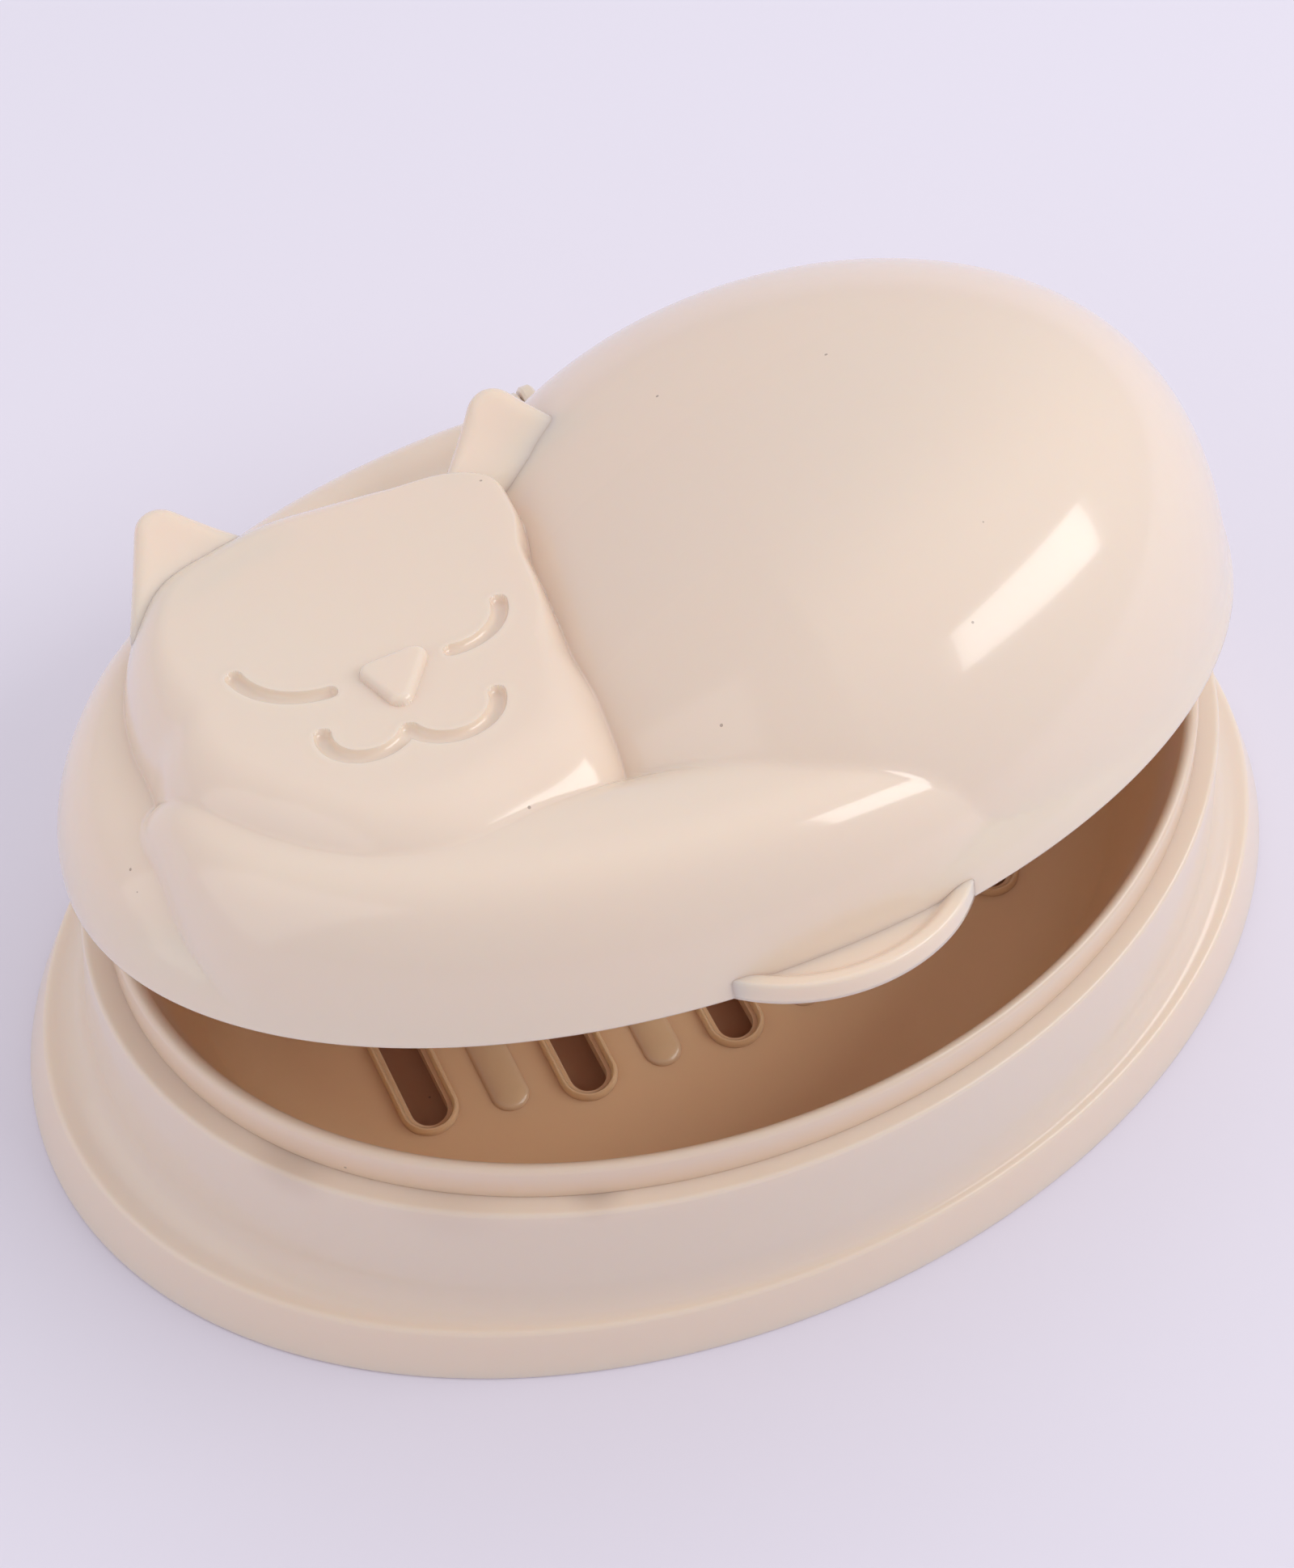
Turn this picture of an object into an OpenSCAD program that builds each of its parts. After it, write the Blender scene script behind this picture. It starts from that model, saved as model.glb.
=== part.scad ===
// Covered soap dish: an oval dish, a drain tray that hangs in it by its lip,
// and a cover shaped as a curled-up sleeping cat, hinged at the back of the dish.
// Origin: centre of the foot, on the surface it stands on. X along the oval,
// Y towards the hinge, Z up. Millimetres.

/* [Foot] */
// Length of the foot along the oval
foot_length = 145; // [136:1:156]
// Width of the foot across the oval
foot_width = 102.2; // [96:0.2:110]
// Height of the foot's upright band
foot_height = 7.3; // [5:0.1:9]
// How far the band leans in from bottom to top
foot_lean = 2.7; // [1.5:0.1:3.5]

/* [Dish] */
// Length of the rim over its outer edge
rim_length = 125.2; // [120:0.2:130]
// Width of the rim over its outer edge
rim_width = 92.2; // [88:0.2:96]
// Height of the rim's ledge above the table
rim_height = 27; // [24:0.5:32]
// Thickness of the dish's wall
dish_wall = 2.2; // [1.6:0.1:2.6]
// Width of the flat ledge round the rim
ledge_width = 3.6; // [3.4:0.1:4.4]
// Thickness of the ledge
ledge_thick = 2; // [1.6:0.1:3]
// Radius on the rim's outer edge
rim_round = 0.7; // [0.3:0.1:0.9]
// Thickness of the dish's closed floor
dish_floor = 1.8; // [1.2:0.1:2.4]
// How far the wall leans out from the rim down to the flare
wall_lean = 1.6; // [0.8:0.1:2.4]
// Radius of the hollow flare between the wall and the foot
flare_radius = 5.6; // [4:0.2:6.4]

/* [Drain tray] */
// Height of the tray's lip above the ledge
lip_height = 4.9; // [3.5:0.1:6]
// Thickness of the lip
lip_thick = 1.7; // [1.3:0.1:2.2]
// How much of the lip's underside sits on the ledge
lip_seat = 1; // [0.7:0.1:1]
// Lean of the lip's outer face over its height
lip_lean = 0.4; // [0.2:0.1:0.8]
// Thickness of the tray's wall and floor
tray_wall = 1.8; // [1.4:0.1:2.2]
// Height of the tray's floor above the table
tray_floor_height = 6; // [5:0.2:9]
// How far the bowl narrows from the lip to the floor
bowl_taper = 5; // [3:0.5:8]
// Radius between the bowl's wall and its floor
bowl_radius = 9; // [6:0.5:12]
// Gap left round the tray inside the ledge
tray_gap = 0.25; // [0.15:0.05:0.4]
// Number of drain slots
slot_count = 5; // [3:2:5]
// Distance from slot to slot
slot_pitch = 17; // [15:0.5:18]
// Width of a drain slot
slot_width = 4; // [3:0.1:4]
// Half length of the middle slot
slot_reach = 20.8; // [16:0.2:24]
// Half length of the oval that the slots' ends follow
slot_oval = 54; // [48:1:60]
// Width of the raised bead round a slot
bead_width = 1.9; // [1.2:0.1:2.4]
// Height of the raised bead round a slot
bead_height = 0.5; // [0.3:0.1:0.8]
// Width of a raised bar between two slots
bar_width = 4.6; // [3:0.1:5.4]
// Height of a raised bar between two slots
bar_height = 0.5; // [0.3:0.1:0.8]

/* [Cover] */
// How far the cover's edge is set in from the rim's outer edge
cover_inset = 0.4; // [0.2:0.1:0.5]
// Wall of the cover over the cat
cover_wall = 2; // [1.6:0.1:2.4]
// Wall of the cover's skirt, which stands outside the lip
skirt_wall = 1.25; // [1:0.05:1.3]
// Height of the cat's back above the cover's edge
body_height = 30.7; // [27:0.1:34]
// Rise of the cat's back to the right and to the front, over 40 mm
body_rise = 3; // [0:0.5:4]
// Height of the cat's face above the cover's edge
head_height = 20.2; // [18.5:0.1:22]
// Width of the head's rounded edge
head_edge = 8; // [6:0.5:10]
// Height of the front leg above the cover's edge
arm_height = 16.6; // [14:0.1:18]
// Height of the tail that runs round the back, at the left end
tail_height = 11.6; // [10:0.1:13]
// Height of the skirt under the forms
skirt_height = 9.4; // [8.4:0.1:10.5]
// Height of the ears above the cover's edge
ear_height = 22.5; // [20.5:0.1:25]
// Size of the ears in plan
ear_size = 1; // [0.9:0.02:1.1]
// Width of the eye and mouth grooves
groove_width = 1.7; // [1.2:0.1:2.2]
// Depth of the eye and mouth grooves
groove_depth = 0.8; // [0.4:0.1:1.1]
// Height of the nose above the face
nose_height = 0.9; // [0.5:0.1:1.4]

/* [Thumb tab] */
// Length of the tab along the cover's front edge
tab_length = 24.8; // [18:0.2:30]
// How far the tab stands out from the cover's edge
tab_reach = 4.6; // [4:0.1:6]
// Thickness of the tab
tab_thick = 2.4; // [1.6:0.1:3]
// Depth of the hollow in the tab's top
tab_hollow = 0.7; // [0.3:0.1:1]

/* [Hinge] */
// Distance of the hinge axis behind the rim's outer edge
hinge_back = 5.3; // [5:0.1:7]
// Height of the hinge axis above the ledge
hinge_rise = 1.6; // [1.2:0.1:2]
// How far the hinge lies to the right of the middle
hinge_x = 5.4; // [0:0.2:8]
// Radius of the cover's hinge barrel
barrel_radius = 1.8; // [1.6:0.1:2.4]
// Radius of the pins at the barrel's ends
pin_radius = 1; // [0.9:0.05:1.2]
// Length of the hinge barrel
barrel_length = 4; // [3:0.5:10]
// Thickness of each ear plate on the dish
lug_thick = 1.6; // [1.4:0.1:2.6]
// Gap between pin and bore
pin_gap = 0.08; // [0.05:0.01:0.1]
// Gap between the barrel and each ear plate
lug_gap = 0.2; // [0.1:0.05:0.4]
// How far the cover stands open
open_angle = 18; // [0:0.1:100]

/* [Hidden] */
plastic = [0.90, 0.83, 0.76];
plastic_inner = [0.74, 0.55, 0.42];

$fn = 96;
rim_a = rim_length / 2;
rim_ratio = rim_width / rim_length;
foot_a = foot_length / 2;
foot_ratio = foot_width / foot_length;
// Tray, as half lengths along the oval
ledge_in = rim_a - ledge_width;
lip_out = ledge_in + lip_seat;
lip_in = lip_out - lip_lean - lip_thick;
lip_top = rim_height + lip_height;
tray_out = ledge_in - tray_gap;
bowl_foot = lip_in - bowl_taper;
// Cover
edge_gap = 0.3;
cover_z = rim_height + edge_gap;
cover_a = rim_a - cover_inset;
cover_b = rim_width / 2 - cover_inset;
hinge_y = rim_width / 2 + hinge_back;
hinge_z = rim_height + hinge_rise;

// Points of an arc, from one angle to the other
function arc(cx, cy, r, from, to, steps) =
    [for (i = [0:steps]) let (t = from + (to - from) * i / steps) [cx + r * cos(t), cy + r * sin(t)]];

// Half profile points [half length, height] as oval rings [half length, half width, height]
function as_rings(points, ratio) = [for (p = points) [p[0], p[0] * ratio, p[1]]];

// Solid through oval rings, from the middle of its underside out, up and back in
module ring_solid(rings, steps) {
    points = [for (r = rings) for (j = [0:steps - 1])
        [r[0] * cos(360 * j / steps), r[1] * sin(360 * j / steps), r[2]]];
    last = (len(rings) - 1) * steps;
    faces = concat(
        [[for (j = [0:steps - 1]) j], [for (j = [steps - 1:-1:0]) last + j]],
        [for (i = [0:len(rings) - 2]) for (j = [0:steps - 1])
            let (k = (j + 1) % steps, a = i * steps, b = a + steps)
            each [[a + j, b + j, b + k], [a + j, b + k, a + k]]]);
    polyhedron(points = points, faces = faces, convexity = 8);
}

// Concave sweep from the wall down to the foot, wide at the ends and narrow at the sides
function flare_rings(steps) =
    let (top = [rim_a + wall_lean, (rim_a + wall_lean) * rim_ratio, foot_height + flare_radius],
         low_a = foot_a - foot_lean - 0.9,
         low = [low_a, low_a * foot_ratio, foot_height])
    [for (i = [0:steps]) let (t = 90 - 90 * i / steps)
        [top[0] + (low[0] - top[0]) * (1 - cos(t)),
         top[1] + (low[1] - top[1]) * (1 - cos(t)),
         top[2] + (low[2] - top[2]) * sin(t)]];

// Dish: foot band, flare, wall, rounded rim, ledge, then the inside down to its floor
function dish_rings() =
    let (wall_low = rim_a + wall_lean, edge = 0.9)
    concat(
        [[foot_a, foot_a * foot_ratio, 0]],
        as_rings(arc(foot_a - foot_lean - edge + 0.3, foot_height - edge, edge, 18, 72, 2), foot_ratio),
        flare_rings(6),
        as_rings(concat(
            arc(rim_a - rim_round, rim_height - rim_round, rim_round, 6, 90, 3),
            [[ledge_in, rim_height], [ledge_in, rim_height - ledge_thick],
             [rim_a - dish_wall, rim_height - ledge_thick - 1.4],
             [wall_low - dish_wall, foot_height + flare_radius]],
            arc(wall_low - dish_wall - 2.4, dish_floor + 2.4, 2.4, 0, -90, 3)), rim_ratio));

// One ear plate of the hinge, seen from its side
module lug_shape() {
    round_r = barrel_radius + 0.35;
    wall_y = rim_width / 2 - 1.2;
    difference() {
        union() {
            translate([hinge_y, hinge_z])
                circle(round_r);
            polygon([
                [wall_y, rim_height - 13],
                [wall_y, rim_height - 1.2],
                [rim_width / 2 + 0.9, rim_height - 0.4],
                [hinge_y - round_r, hinge_z],
                [hinge_y + round_r, hinge_z],
                [hinge_y + round_r * 0.8, rim_height - 2]]);
        }
        translate([hinge_y, hinge_z])
            circle(pin_radius + pin_gap);
    }
}

module hinge_lugs() {
    for (side = [-1, 1])
        translate([hinge_x + side * (barrel_length / 2 + lug_gap + lug_thick / 2) - lug_thick / 2, 0, 0])
            rotate([90, 0, 90])
                linear_extrude(lug_thick)
                    lug_shape();
}

module dish() {
    color(plastic)
        union() {
            ring_solid(dish_rings(), 64);
            hinge_lugs();
        }
}

// Tray: floor, bowl wall, seat on the ledge, lip with a rounded top, and the bowl inside
function tray_rings() =
    let (r_out = bowl_radius + tray_wall, mid = lip_thick / 2)
    as_rings(concat(
        arc(bowl_foot - bowl_radius, tray_floor_height + bowl_radius, r_out, -90, -12, 4),
        [[tray_out, rim_height - 4], [tray_out, rim_height], [lip_out, rim_height]],
        arc(lip_in + mid, lip_top - mid, mid, 4, 176, 5),
        arc(bowl_foot - bowl_radius, tray_floor_height + bowl_radius, bowl_radius, -12, -90, 5)), rim_ratio);

function slot_half(x) = slot_reach * sqrt(1 - pow(x / slot_oval, 2));
function slot_x(i) = (i - (slot_count - 1) / 2) * slot_pitch;

// Straight slot with round ends, cut right through
module slot_cut(x) {
    straight = slot_half(x) - slot_width / 2;
    translate([x, 0, 0]) {
        translate([-slot_width / 2, -straight, -1])
            cube([slot_width, 2 * straight, tray_floor_height + 8]);
        for (side = [-1, 1])
            translate([0, side * straight, -1])
                cylinder(h = tray_floor_height + 8, d = slot_width, $fn = 40);
    }
}

// Section of a low rounded strip, sunk half a millimetre into the floor
function strip_points(width, height) = [
    [-width / 2, -0.5], [width / 2, -0.5], [width / 2, height * 0.15], [width * 0.36, height * 0.72],
    [width * 0.15, height], [-width * 0.15, height], [-width * 0.36, height * 0.72], [-width / 2, height * 0.15]];
function half_strip_points(width, height) = [
    [0, -0.5], [width / 2, -0.5], [width / 2, height * 0.15], [width * 0.36, height * 0.72],
    [width * 0.15, height], [0, height]];

// Rounded bead that follows the slot's edge
module slot_bead(x) {
    straight = slot_half(x) - slot_width / 2;
    path_r = slot_width / 2 + bead_width / 2 - 0.1;
    translate([x, 0, tray_floor_height])
        for (side = [-1, 1]) {
            translate([side * path_r, straight, 0])
                rotate([90, 0, 0])
                    linear_extrude(2 * straight)
                        polygon(strip_points(bead_width, bead_height));
            translate([0, side * straight, 0])
                rotate([0, 0, side > 0 ? 0 : 180])
                    rotate_extrude(angle = 180, $fn = 48)
                        translate([path_r, 0])
                            polygon(strip_points(bead_width, bead_height));
        }
}

// Low rounded bar between two slots
module floor_bar(x) {
    straight = slot_half(x) - bar_width / 2;
    translate([x, 0, tray_floor_height]) {
        translate([0, straight, 0])
            rotate([90, 0, 0])
                linear_extrude(2 * straight)
                    polygon(strip_points(bar_width, bar_height));
        for (side = [-1, 1])
            translate([0, side * straight, 0])
                rotate([0, 0, side > 0 ? 0 : 180])
                    rotate_extrude(angle = 180, $fn = 48)
                        polygon(half_strip_points(bar_width, bar_height));
    }
}

module drain_tray() {
    color(plastic_inner)
        difference() {
            union() {
                ring_solid(tray_rings(), 64);
                for (i = [0:slot_count - 1])
                    slot_bead(slot_x(i));
                for (i = [0:slot_count - 2])
                    floor_bar(slot_x(i) + slot_pitch / 2);
            }
            for (i = [0:slot_count - 1])
                slot_cut(slot_x(i));
        }
}

// Height field of the cover, in its own closed frame with its edge at z = 0.
// drop is 0 for the outside, and the wall for the hollow inside.
function soft_max(a, b, k) = let (h = min(1, max(0, 0.5 + 0.5 * (a - b) / k)))
    b * (1 - h) + a * h + k * h * (1 - h);
function above(x) = max(x, 0);
function share(x) = min(1, max(0, x));
function shift_turn(x, y, cx, cy, deg) =
    [(x - cx) * cos(deg) + (y - cy) * sin(deg), -(x - cx) * sin(deg) + (y - cy) * cos(deg)];

// Where the head lies: its middle, the turn of its face, and its reach every 15 degrees from +X
head_x = -30;
head_y = -1;
head_turn = -8;
HEAD_REACH = [23.2, 24.6, 28.3, 32.4, 31, 30.2, 29.2, 28.6, 29.2, 27.3, 25.2, 23.8,
              23, 23.6, 24.2, 25.4, 27.9, 30.6, 31.9, 31.6, 30, 30, 25.8, 23.2];

// Smooth closed curve through evenly spaced values
function around(values, deg) =
    let (n = len(values), f = (deg + 360) % 360 / 360 * n, i = floor(f) % n, t = f - floor(f),
         p = values[(i + n - 1) % n], q = values[i], r = values[(i + 1) % n], u = values[(i + 2) % n])
    0.5 * (2 * q + (r - p) * t + (2 * p - 5 * q + 4 * r - u) * t * t + (3 * q - p - 3 * r + u) * t * t * t);

function oval_reach(x, y, a, b) = norm([x / a, y / b]);

// Inside, the skirt rises steeply enough to clear the tray's lip
function skirt_form(x, y, drop) =
    drop > 0 ? (lip_height + 1.7) * sqrt(above(1 - pow(oval_reach(x, y, cover_a - skirt_wall, cover_b - skirt_wall), 44)))
    : skirt_height * sqrt(above(1 - pow(oval_reach(x, y, cover_a, cover_b), 13)));

function body_form(x, y, drop) =
    let (ro = oval_reach(x, y, cover_a - 0.6 - drop, cover_b - drop),
         left = above((50.5 + 0.163 * y + 0.0021 * y * y - 0.16 * above(y - 18) + 2 * drop - x) / 70))
    (body_height - drop + body_rise * (x - 20 - y) / 40) * sqrt(above(1 - pow(ro, 4.64) - pow(left, 2.55)));

function head_form(x, y, drop) =
    let (dx = x - head_x, dy = y - head_y,
         d = (around(HEAD_REACH, atan2(dy, dx)) - norm([dx, dy])) * 0.97 - 2.2 * drop,
         u = share(d / head_edge))
    (head_height - drop - 0.8 * (dx * dx / 576 + dy * dy / 900)) * pow(1 - pow(1 - u, 2.2), 1 / 2.2);

// The front leg lies along the front edge, from the body to the paw at the left
function arm_form(x, y, drop) =
    let (ro = oval_reach(x, y, cover_a - drop, cover_b - drop),
         ang = atan2(y / cover_b, x / cover_a),
         tip = share((-ang - 146) / 22),
         paw = tip * tip * (3 - 2 * tip),
         r = (ro - 0.8 + 0.01 * paw) / (0.2 - 0.06 * paw),
         bend = r > 0 ? pow(r, 3.4) : pow(-r * 0.84, 2.4),
         along = above((-158 - ang) / 22) + above((ang + 58) / 40))
    ang > 0 ? 0 : (arm_height - drop) * sqrt(above(1 - bend - pow(along, 2.6)));

// The tail runs round the back and the left end
function tail_form(x, y, drop) =
    let (r = (oval_reach(x, y, cover_a - drop, cover_b - drop) - 0.85) / 0.15,
         bend = pow(abs(r), r > 0 ? 2.2 : 2.4))
    (tail_height - 2 - drop + 2 * share(-x / 50)) * pow(above(1 - bend - pow(above((-8 - y) / 16), 2)), 0.58);

function cover_top(x, y, drop) =
    let (low = soft_max(soft_max(skirt_form(x, y, drop), tail_form(x, y, drop), 1), arm_form(x, y, drop), 1.2))
    soft_max(soft_max(low, body_form(x, y, drop), 1), head_form(x, y, drop), 0.8);

// Rings run from the cover's edge, at 2, to the head's outline, at 1, and to its middle, at 0
cover_steps = 88;
inner_steps = cover_steps / 2;
OUTER_RINGS = [2, 1.993, 1.98, 1.96, 1.93, 1.885, 1.83, 1.76, 1.68, 1.59, 1.49, 1.39, 1.3, 1.22,
               1.16, 1.11, 1.065, 1.03, 1.005, 0.985, 0.95, 0.9, 0.82, 0.68, 0.45, 0.2];
INNER_RINGS = [2, 1.99, 1.97, 1.93, 1.86, 1.74, 1.58, 1.4, 1.22, 1.06, 0.96, 0.8, 0.5];
function cover_point(ring, ang, drop) =
    let (wall = drop > 0 ? skirt_wall : 0,
         edge = [(cover_a - wall) * cos(ang) - head_x, (cover_b - wall) * sin(ang) - head_y],
         far = norm(edge),
         near = around(HEAD_REACH, atan2(edge[1], edge[0])) - 2.2 * drop,
         reach = ring > 1 ? near + (far - near) * (ring - 1) : near * ring,
         x = head_x + edge[0] * reach / far,
         y = head_y + edge[1] * reach / far)
    [x, y, ring == 2 ? 0 : cover_top(x, y, drop)];

module cover_shell() {
    outer = [for (r = OUTER_RINGS) for (j = [0:cover_steps - 1]) cover_point(r, 360 * j / cover_steps, 0)];
    inner = [for (r = INNER_RINGS) for (j = [0:inner_steps - 1]) cover_point(r, 360 * j / inner_steps, cover_wall)];
    top_outer = len(outer);
    first_inner = top_outer + 1;
    top_inner = first_inner + len(inner);
    faces = concat(
        [for (i = [0:len(OUTER_RINGS) - 2]) for (j = [0:cover_steps - 1])
            let (k = (j + 1) % cover_steps, a = i * cover_steps, b = a + cover_steps)
            each [[a + j, b + k, a + k], [a + j, b + j, b + k]]],
        [for (j = [0:cover_steps - 1])
            let (k = (j + 1) % cover_steps, a = (len(OUTER_RINGS) - 1) * cover_steps)
            [a + j, top_outer, a + k]],
        [for (i = [0:len(INNER_RINGS) - 2]) for (j = [0:inner_steps - 1])
            let (k = (j + 1) % inner_steps, a = first_inner + i * inner_steps, b = a + inner_steps)
            each [[a + j, a + k, b + k], [a + j, b + k, b + j]]],
        [for (j = [0:inner_steps - 1])
            let (k = (j + 1) % inner_steps, a = first_inner + (len(INNER_RINGS) - 1) * inner_steps)
            [a + j, a + k, top_inner]],
        [for (j = [0:inner_steps - 1])
            let (k = (j + 1) % inner_steps, a = 2 * j, m = a + 1, b = (a + 2) % cover_steps,
                 p = first_inner + j, q = first_inner + k)
            each [[a, m, p], [m, q, p], [m, b, q]]]);
    polyhedron(
        points = concat(outer, [cover_point(0, 0, 0)], inner, [cover_point(0, 0, cover_wall)]),
        faces = faces,
        convexity = 6);
}

// Ears: [root x, root y, turn, left corner, right corner, tip], corners in the ear's own turned frame
EARS = [[-39.2, 19.5, 8, [-6.6, -2.7], [8.3, -0.9], [-0.1, 7.4]],
        [-4.8, 19.6, -16, [-5.7, -2.1], [9, 0.8], [-0.9, 8.1]]];
module cat_ear(e) {
    tip_r = 2.6;
    translate([e[0], e[1], 0])
        rotate([0, 0, e[2]])
            hull() {
                for (c = [ear_size * e[3], ear_size * e[4]]) {
                    translate([c[0], c[1], ear_height - 7])
                        sphere(2, $fn = 14);
                    translate([c[0], c[1], 8])
                        sphere(2, $fn = 14);
                }
                translate([ear_size * e[5][0], ear_size * e[5][1], ear_height - tip_r])
                    sphere(tip_r, $fn = 16);
                translate([ear_size * e[5][0], ear_size * e[5][1], 8])
                    sphere(tip_r, $fn = 16);
            }
}

// A place on the face, in the head's own turned frame
module on_face(z) {
    translate([head_x, head_y, 0])
        rotate([0, 0, head_turn])
            translate([0, 0, z])
                children();
}

// Arc groove with round ends: [centre x, centre y, radius, first angle, last angle]
LEFT_EYE = [-3, 1.6, 8.4, -166, -91];
RIGHT_EYE = [9.3, 0.1, 5.8, -92, -2];
LEFT_MOUTH = [-1, -13, 4.1, -188, -30];
RIGHT_MOUTH = [6.9, -13.1, 4.6, -154, -2];

module arc_groove(a) {
    r = groove_width / 2;
    translate([a[0], a[1], 0]) {
        rotate([0, 0, a[3]])
            rotate_extrude(angle = a[4] - a[3], $fn = 40)
                translate([a[2], 0])
                    circle(r, $fn = 12);
        for (ang = [a[3], a[4]])
            translate([a[2] * cos(ang), a[2] * sin(ang), 0])
                sphere(r, $fn = 12);
    }
}

// Raised nose: a triangle with round corners
NOSE = [[1.3, -6.1], [5.5, -5.4], [3, -10.4]];
module nose() {
    corner = 1.3;
    on_face(head_height - 1)
        hull()
            for (p = NOSE)
                translate([p[0], p[1], 0]) {
                    cylinder(h = 1 + nose_height * 0.5, r = corner, $fn = 16);
                    cylinder(h = 1 + nose_height, r = corner * 0.6, $fn = 16);
                }
}

// Thumb tab: a shallow dished crescent on the front edge
module thumb_tab() {
    half = tab_length / 2;
    edge_y = cover_b * sqrt(1 - pow(half / cover_a, 2));
    rise = cover_b + tab_reach - edge_y;
    radius = (half * half + rise * rise) / (2 * rise);
    translate([0, radius - cover_b - tab_reach, 0])
        intersection() {
            difference() {
                union() {
                    cylinder(h = tab_thick - 0.5, r = radius);
                    translate([0, 0, tab_thick - 0.5])
                        cylinder(h = 0.5, r1 = radius, r2 = radius - 0.5);
                }
                translate([0, 0, tab_thick - tab_hollow])
                    cylinder(h = tab_hollow + 1, r1 = radius - 2, r2 = radius - 1);
            }
            translate([-radius, -radius - 1, -1])
                cube([2 * radius, tab_reach + skirt_wall * 0.88 + 1, tab_thick + 2]);
        }
}

// Hinge barrel with a pin at each end, carried by an arm from the back of the skirt
module cover_hinge() {
    axis_z = hinge_z - cover_z;
    root_y = cover_b - skirt_wall * 0.92;
    translate([hinge_x - barrel_length / 2, root_y, 0.2])
        cube([barrel_length, hinge_y - root_y, axis_z + barrel_radius * 0.6]);
    translate([hinge_x, hinge_y, axis_z])
        rotate([0, 90, 0]) {
            cylinder(h = barrel_length, r = barrel_radius, center = true, $fn = 40);
            cylinder(h = barrel_length + 2 * (lug_gap + lug_thick), r = pin_radius, center = true, $fn = 48);
        }
}

module cover_closed() {
    difference() {
        union() {
            cover_shell();
            for (e = EARS)
                cat_ear(e);
            nose();
            thumb_tab();
            cover_hinge();
        }
        on_face(head_height + groove_width / 2 - groove_depth - 0.1)
            for (a = [LEFT_EYE, RIGHT_EYE, LEFT_MOUTH, RIGHT_MOUTH])
                arc_groove(a);
    }
}

module cover() {
    color(plastic)
        translate([0, hinge_y, hinge_z])
            rotate([-open_angle, 0, 0])
                translate([0, -hinge_y, cover_z - hinge_z])
                    cover_closed();
}

dish();
drain_tray();
cover();
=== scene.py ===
import math

import bmesh
import bpy
import numpy as np
from mathutils import Matrix, Vector
from mathutils.geometry import delaunay_2d_cdt


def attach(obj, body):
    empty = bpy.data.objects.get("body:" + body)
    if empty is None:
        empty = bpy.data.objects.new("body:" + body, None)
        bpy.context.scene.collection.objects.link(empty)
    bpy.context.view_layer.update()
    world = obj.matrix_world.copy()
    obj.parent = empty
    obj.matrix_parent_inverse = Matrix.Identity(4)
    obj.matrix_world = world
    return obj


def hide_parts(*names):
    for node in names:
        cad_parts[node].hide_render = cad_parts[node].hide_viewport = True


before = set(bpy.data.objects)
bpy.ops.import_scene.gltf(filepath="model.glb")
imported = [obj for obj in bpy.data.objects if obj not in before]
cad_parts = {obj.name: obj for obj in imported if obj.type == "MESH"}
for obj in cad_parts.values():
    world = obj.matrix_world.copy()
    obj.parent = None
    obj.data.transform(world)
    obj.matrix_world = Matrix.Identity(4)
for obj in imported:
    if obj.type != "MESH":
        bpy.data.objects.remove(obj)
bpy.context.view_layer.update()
mm = 0.001  # lengths below are millimetres unless a note says otherwise
print("frame loaded:", ", ".join(sorted(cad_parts)))

# camera

cameraLook = {
    "azimuth": -25.65,
    "elevation": 57.84,
    "roll": 0.09,
    "place": (-81.4, -162.1, 315.7),
    "lens": 74.27,
    "sensor": 36,
    "shiftX": 0.0109,
    "clip": (0.02, 20),  # metres
}


def link(name, data):
    thing = bpy.data.objects.new(name, data)
    bpy.context.scene.collection.objects.link(thing)
    return thing


def makeCamera(look):
    azimuth, elevation, roll = (math.radians(look[k]) for k in ("azimuth", "elevation", "roll"))
    level, lean, rise = math.cos(elevation), math.sin(roll), math.cos(roll)
    back = Vector((math.sin(azimuth) * level, -math.cos(azimuth) * level, math.sin(elevation)))
    right = Vector((math.cos(azimuth), math.sin(azimuth), 0))
    up = back.cross(right)
    right, up = right * rise + up * lean, up * rise - right * lean
    data = bpy.data.cameras.new("photo camera")
    data.lens, data.sensor_width, data.sensor_fit = look["lens"], look["sensor"], "AUTO"
    data.shift_x = look["shiftX"]
    data.clip_start, data.clip_end = look["clip"]
    camera = link("photo camera", data)
    turn = Matrix((right, up, back)).transposed().to_4x4()
    camera.matrix_world = Matrix.Translation(Vector(look["place"]) * mm) @ turn
    bpy.context.scene.camera = camera


makeCamera(cameraLook)
print("camera set")

# node graphs


def forward(operation):
    return lambda a, b: a.math(operation, a, b)


def reflected(operation):
    return lambda a, b: a.math(operation, b, a)


class Value:
    # wraps one output socket, so that node maths reads as Python
    def __init__(self, graph, socket):
        self.graph, self.socket = graph, socket

    def math(self, operation, *inputs):
        return self.graph.add("ShaderNodeMath", {"operation": operation}, dict(enumerate(inputs)))

    def apply(self, operation):
        return self.math(operation, self)

    __add__, __radd__ = forward("ADD"), reflected("ADD")
    __sub__, __rsub__ = forward("SUBTRACT"), reflected("SUBTRACT")
    __mul__, __rmul__ = forward("MULTIPLY"), reflected("MULTIPLY")
    __truediv__, __rtruediv__ = forward("DIVIDE"), reflected("DIVIDE")
    __pow__, __rpow__ = forward("POWER"), reflected("POWER")
    below = forward("LESS_THAN")


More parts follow.
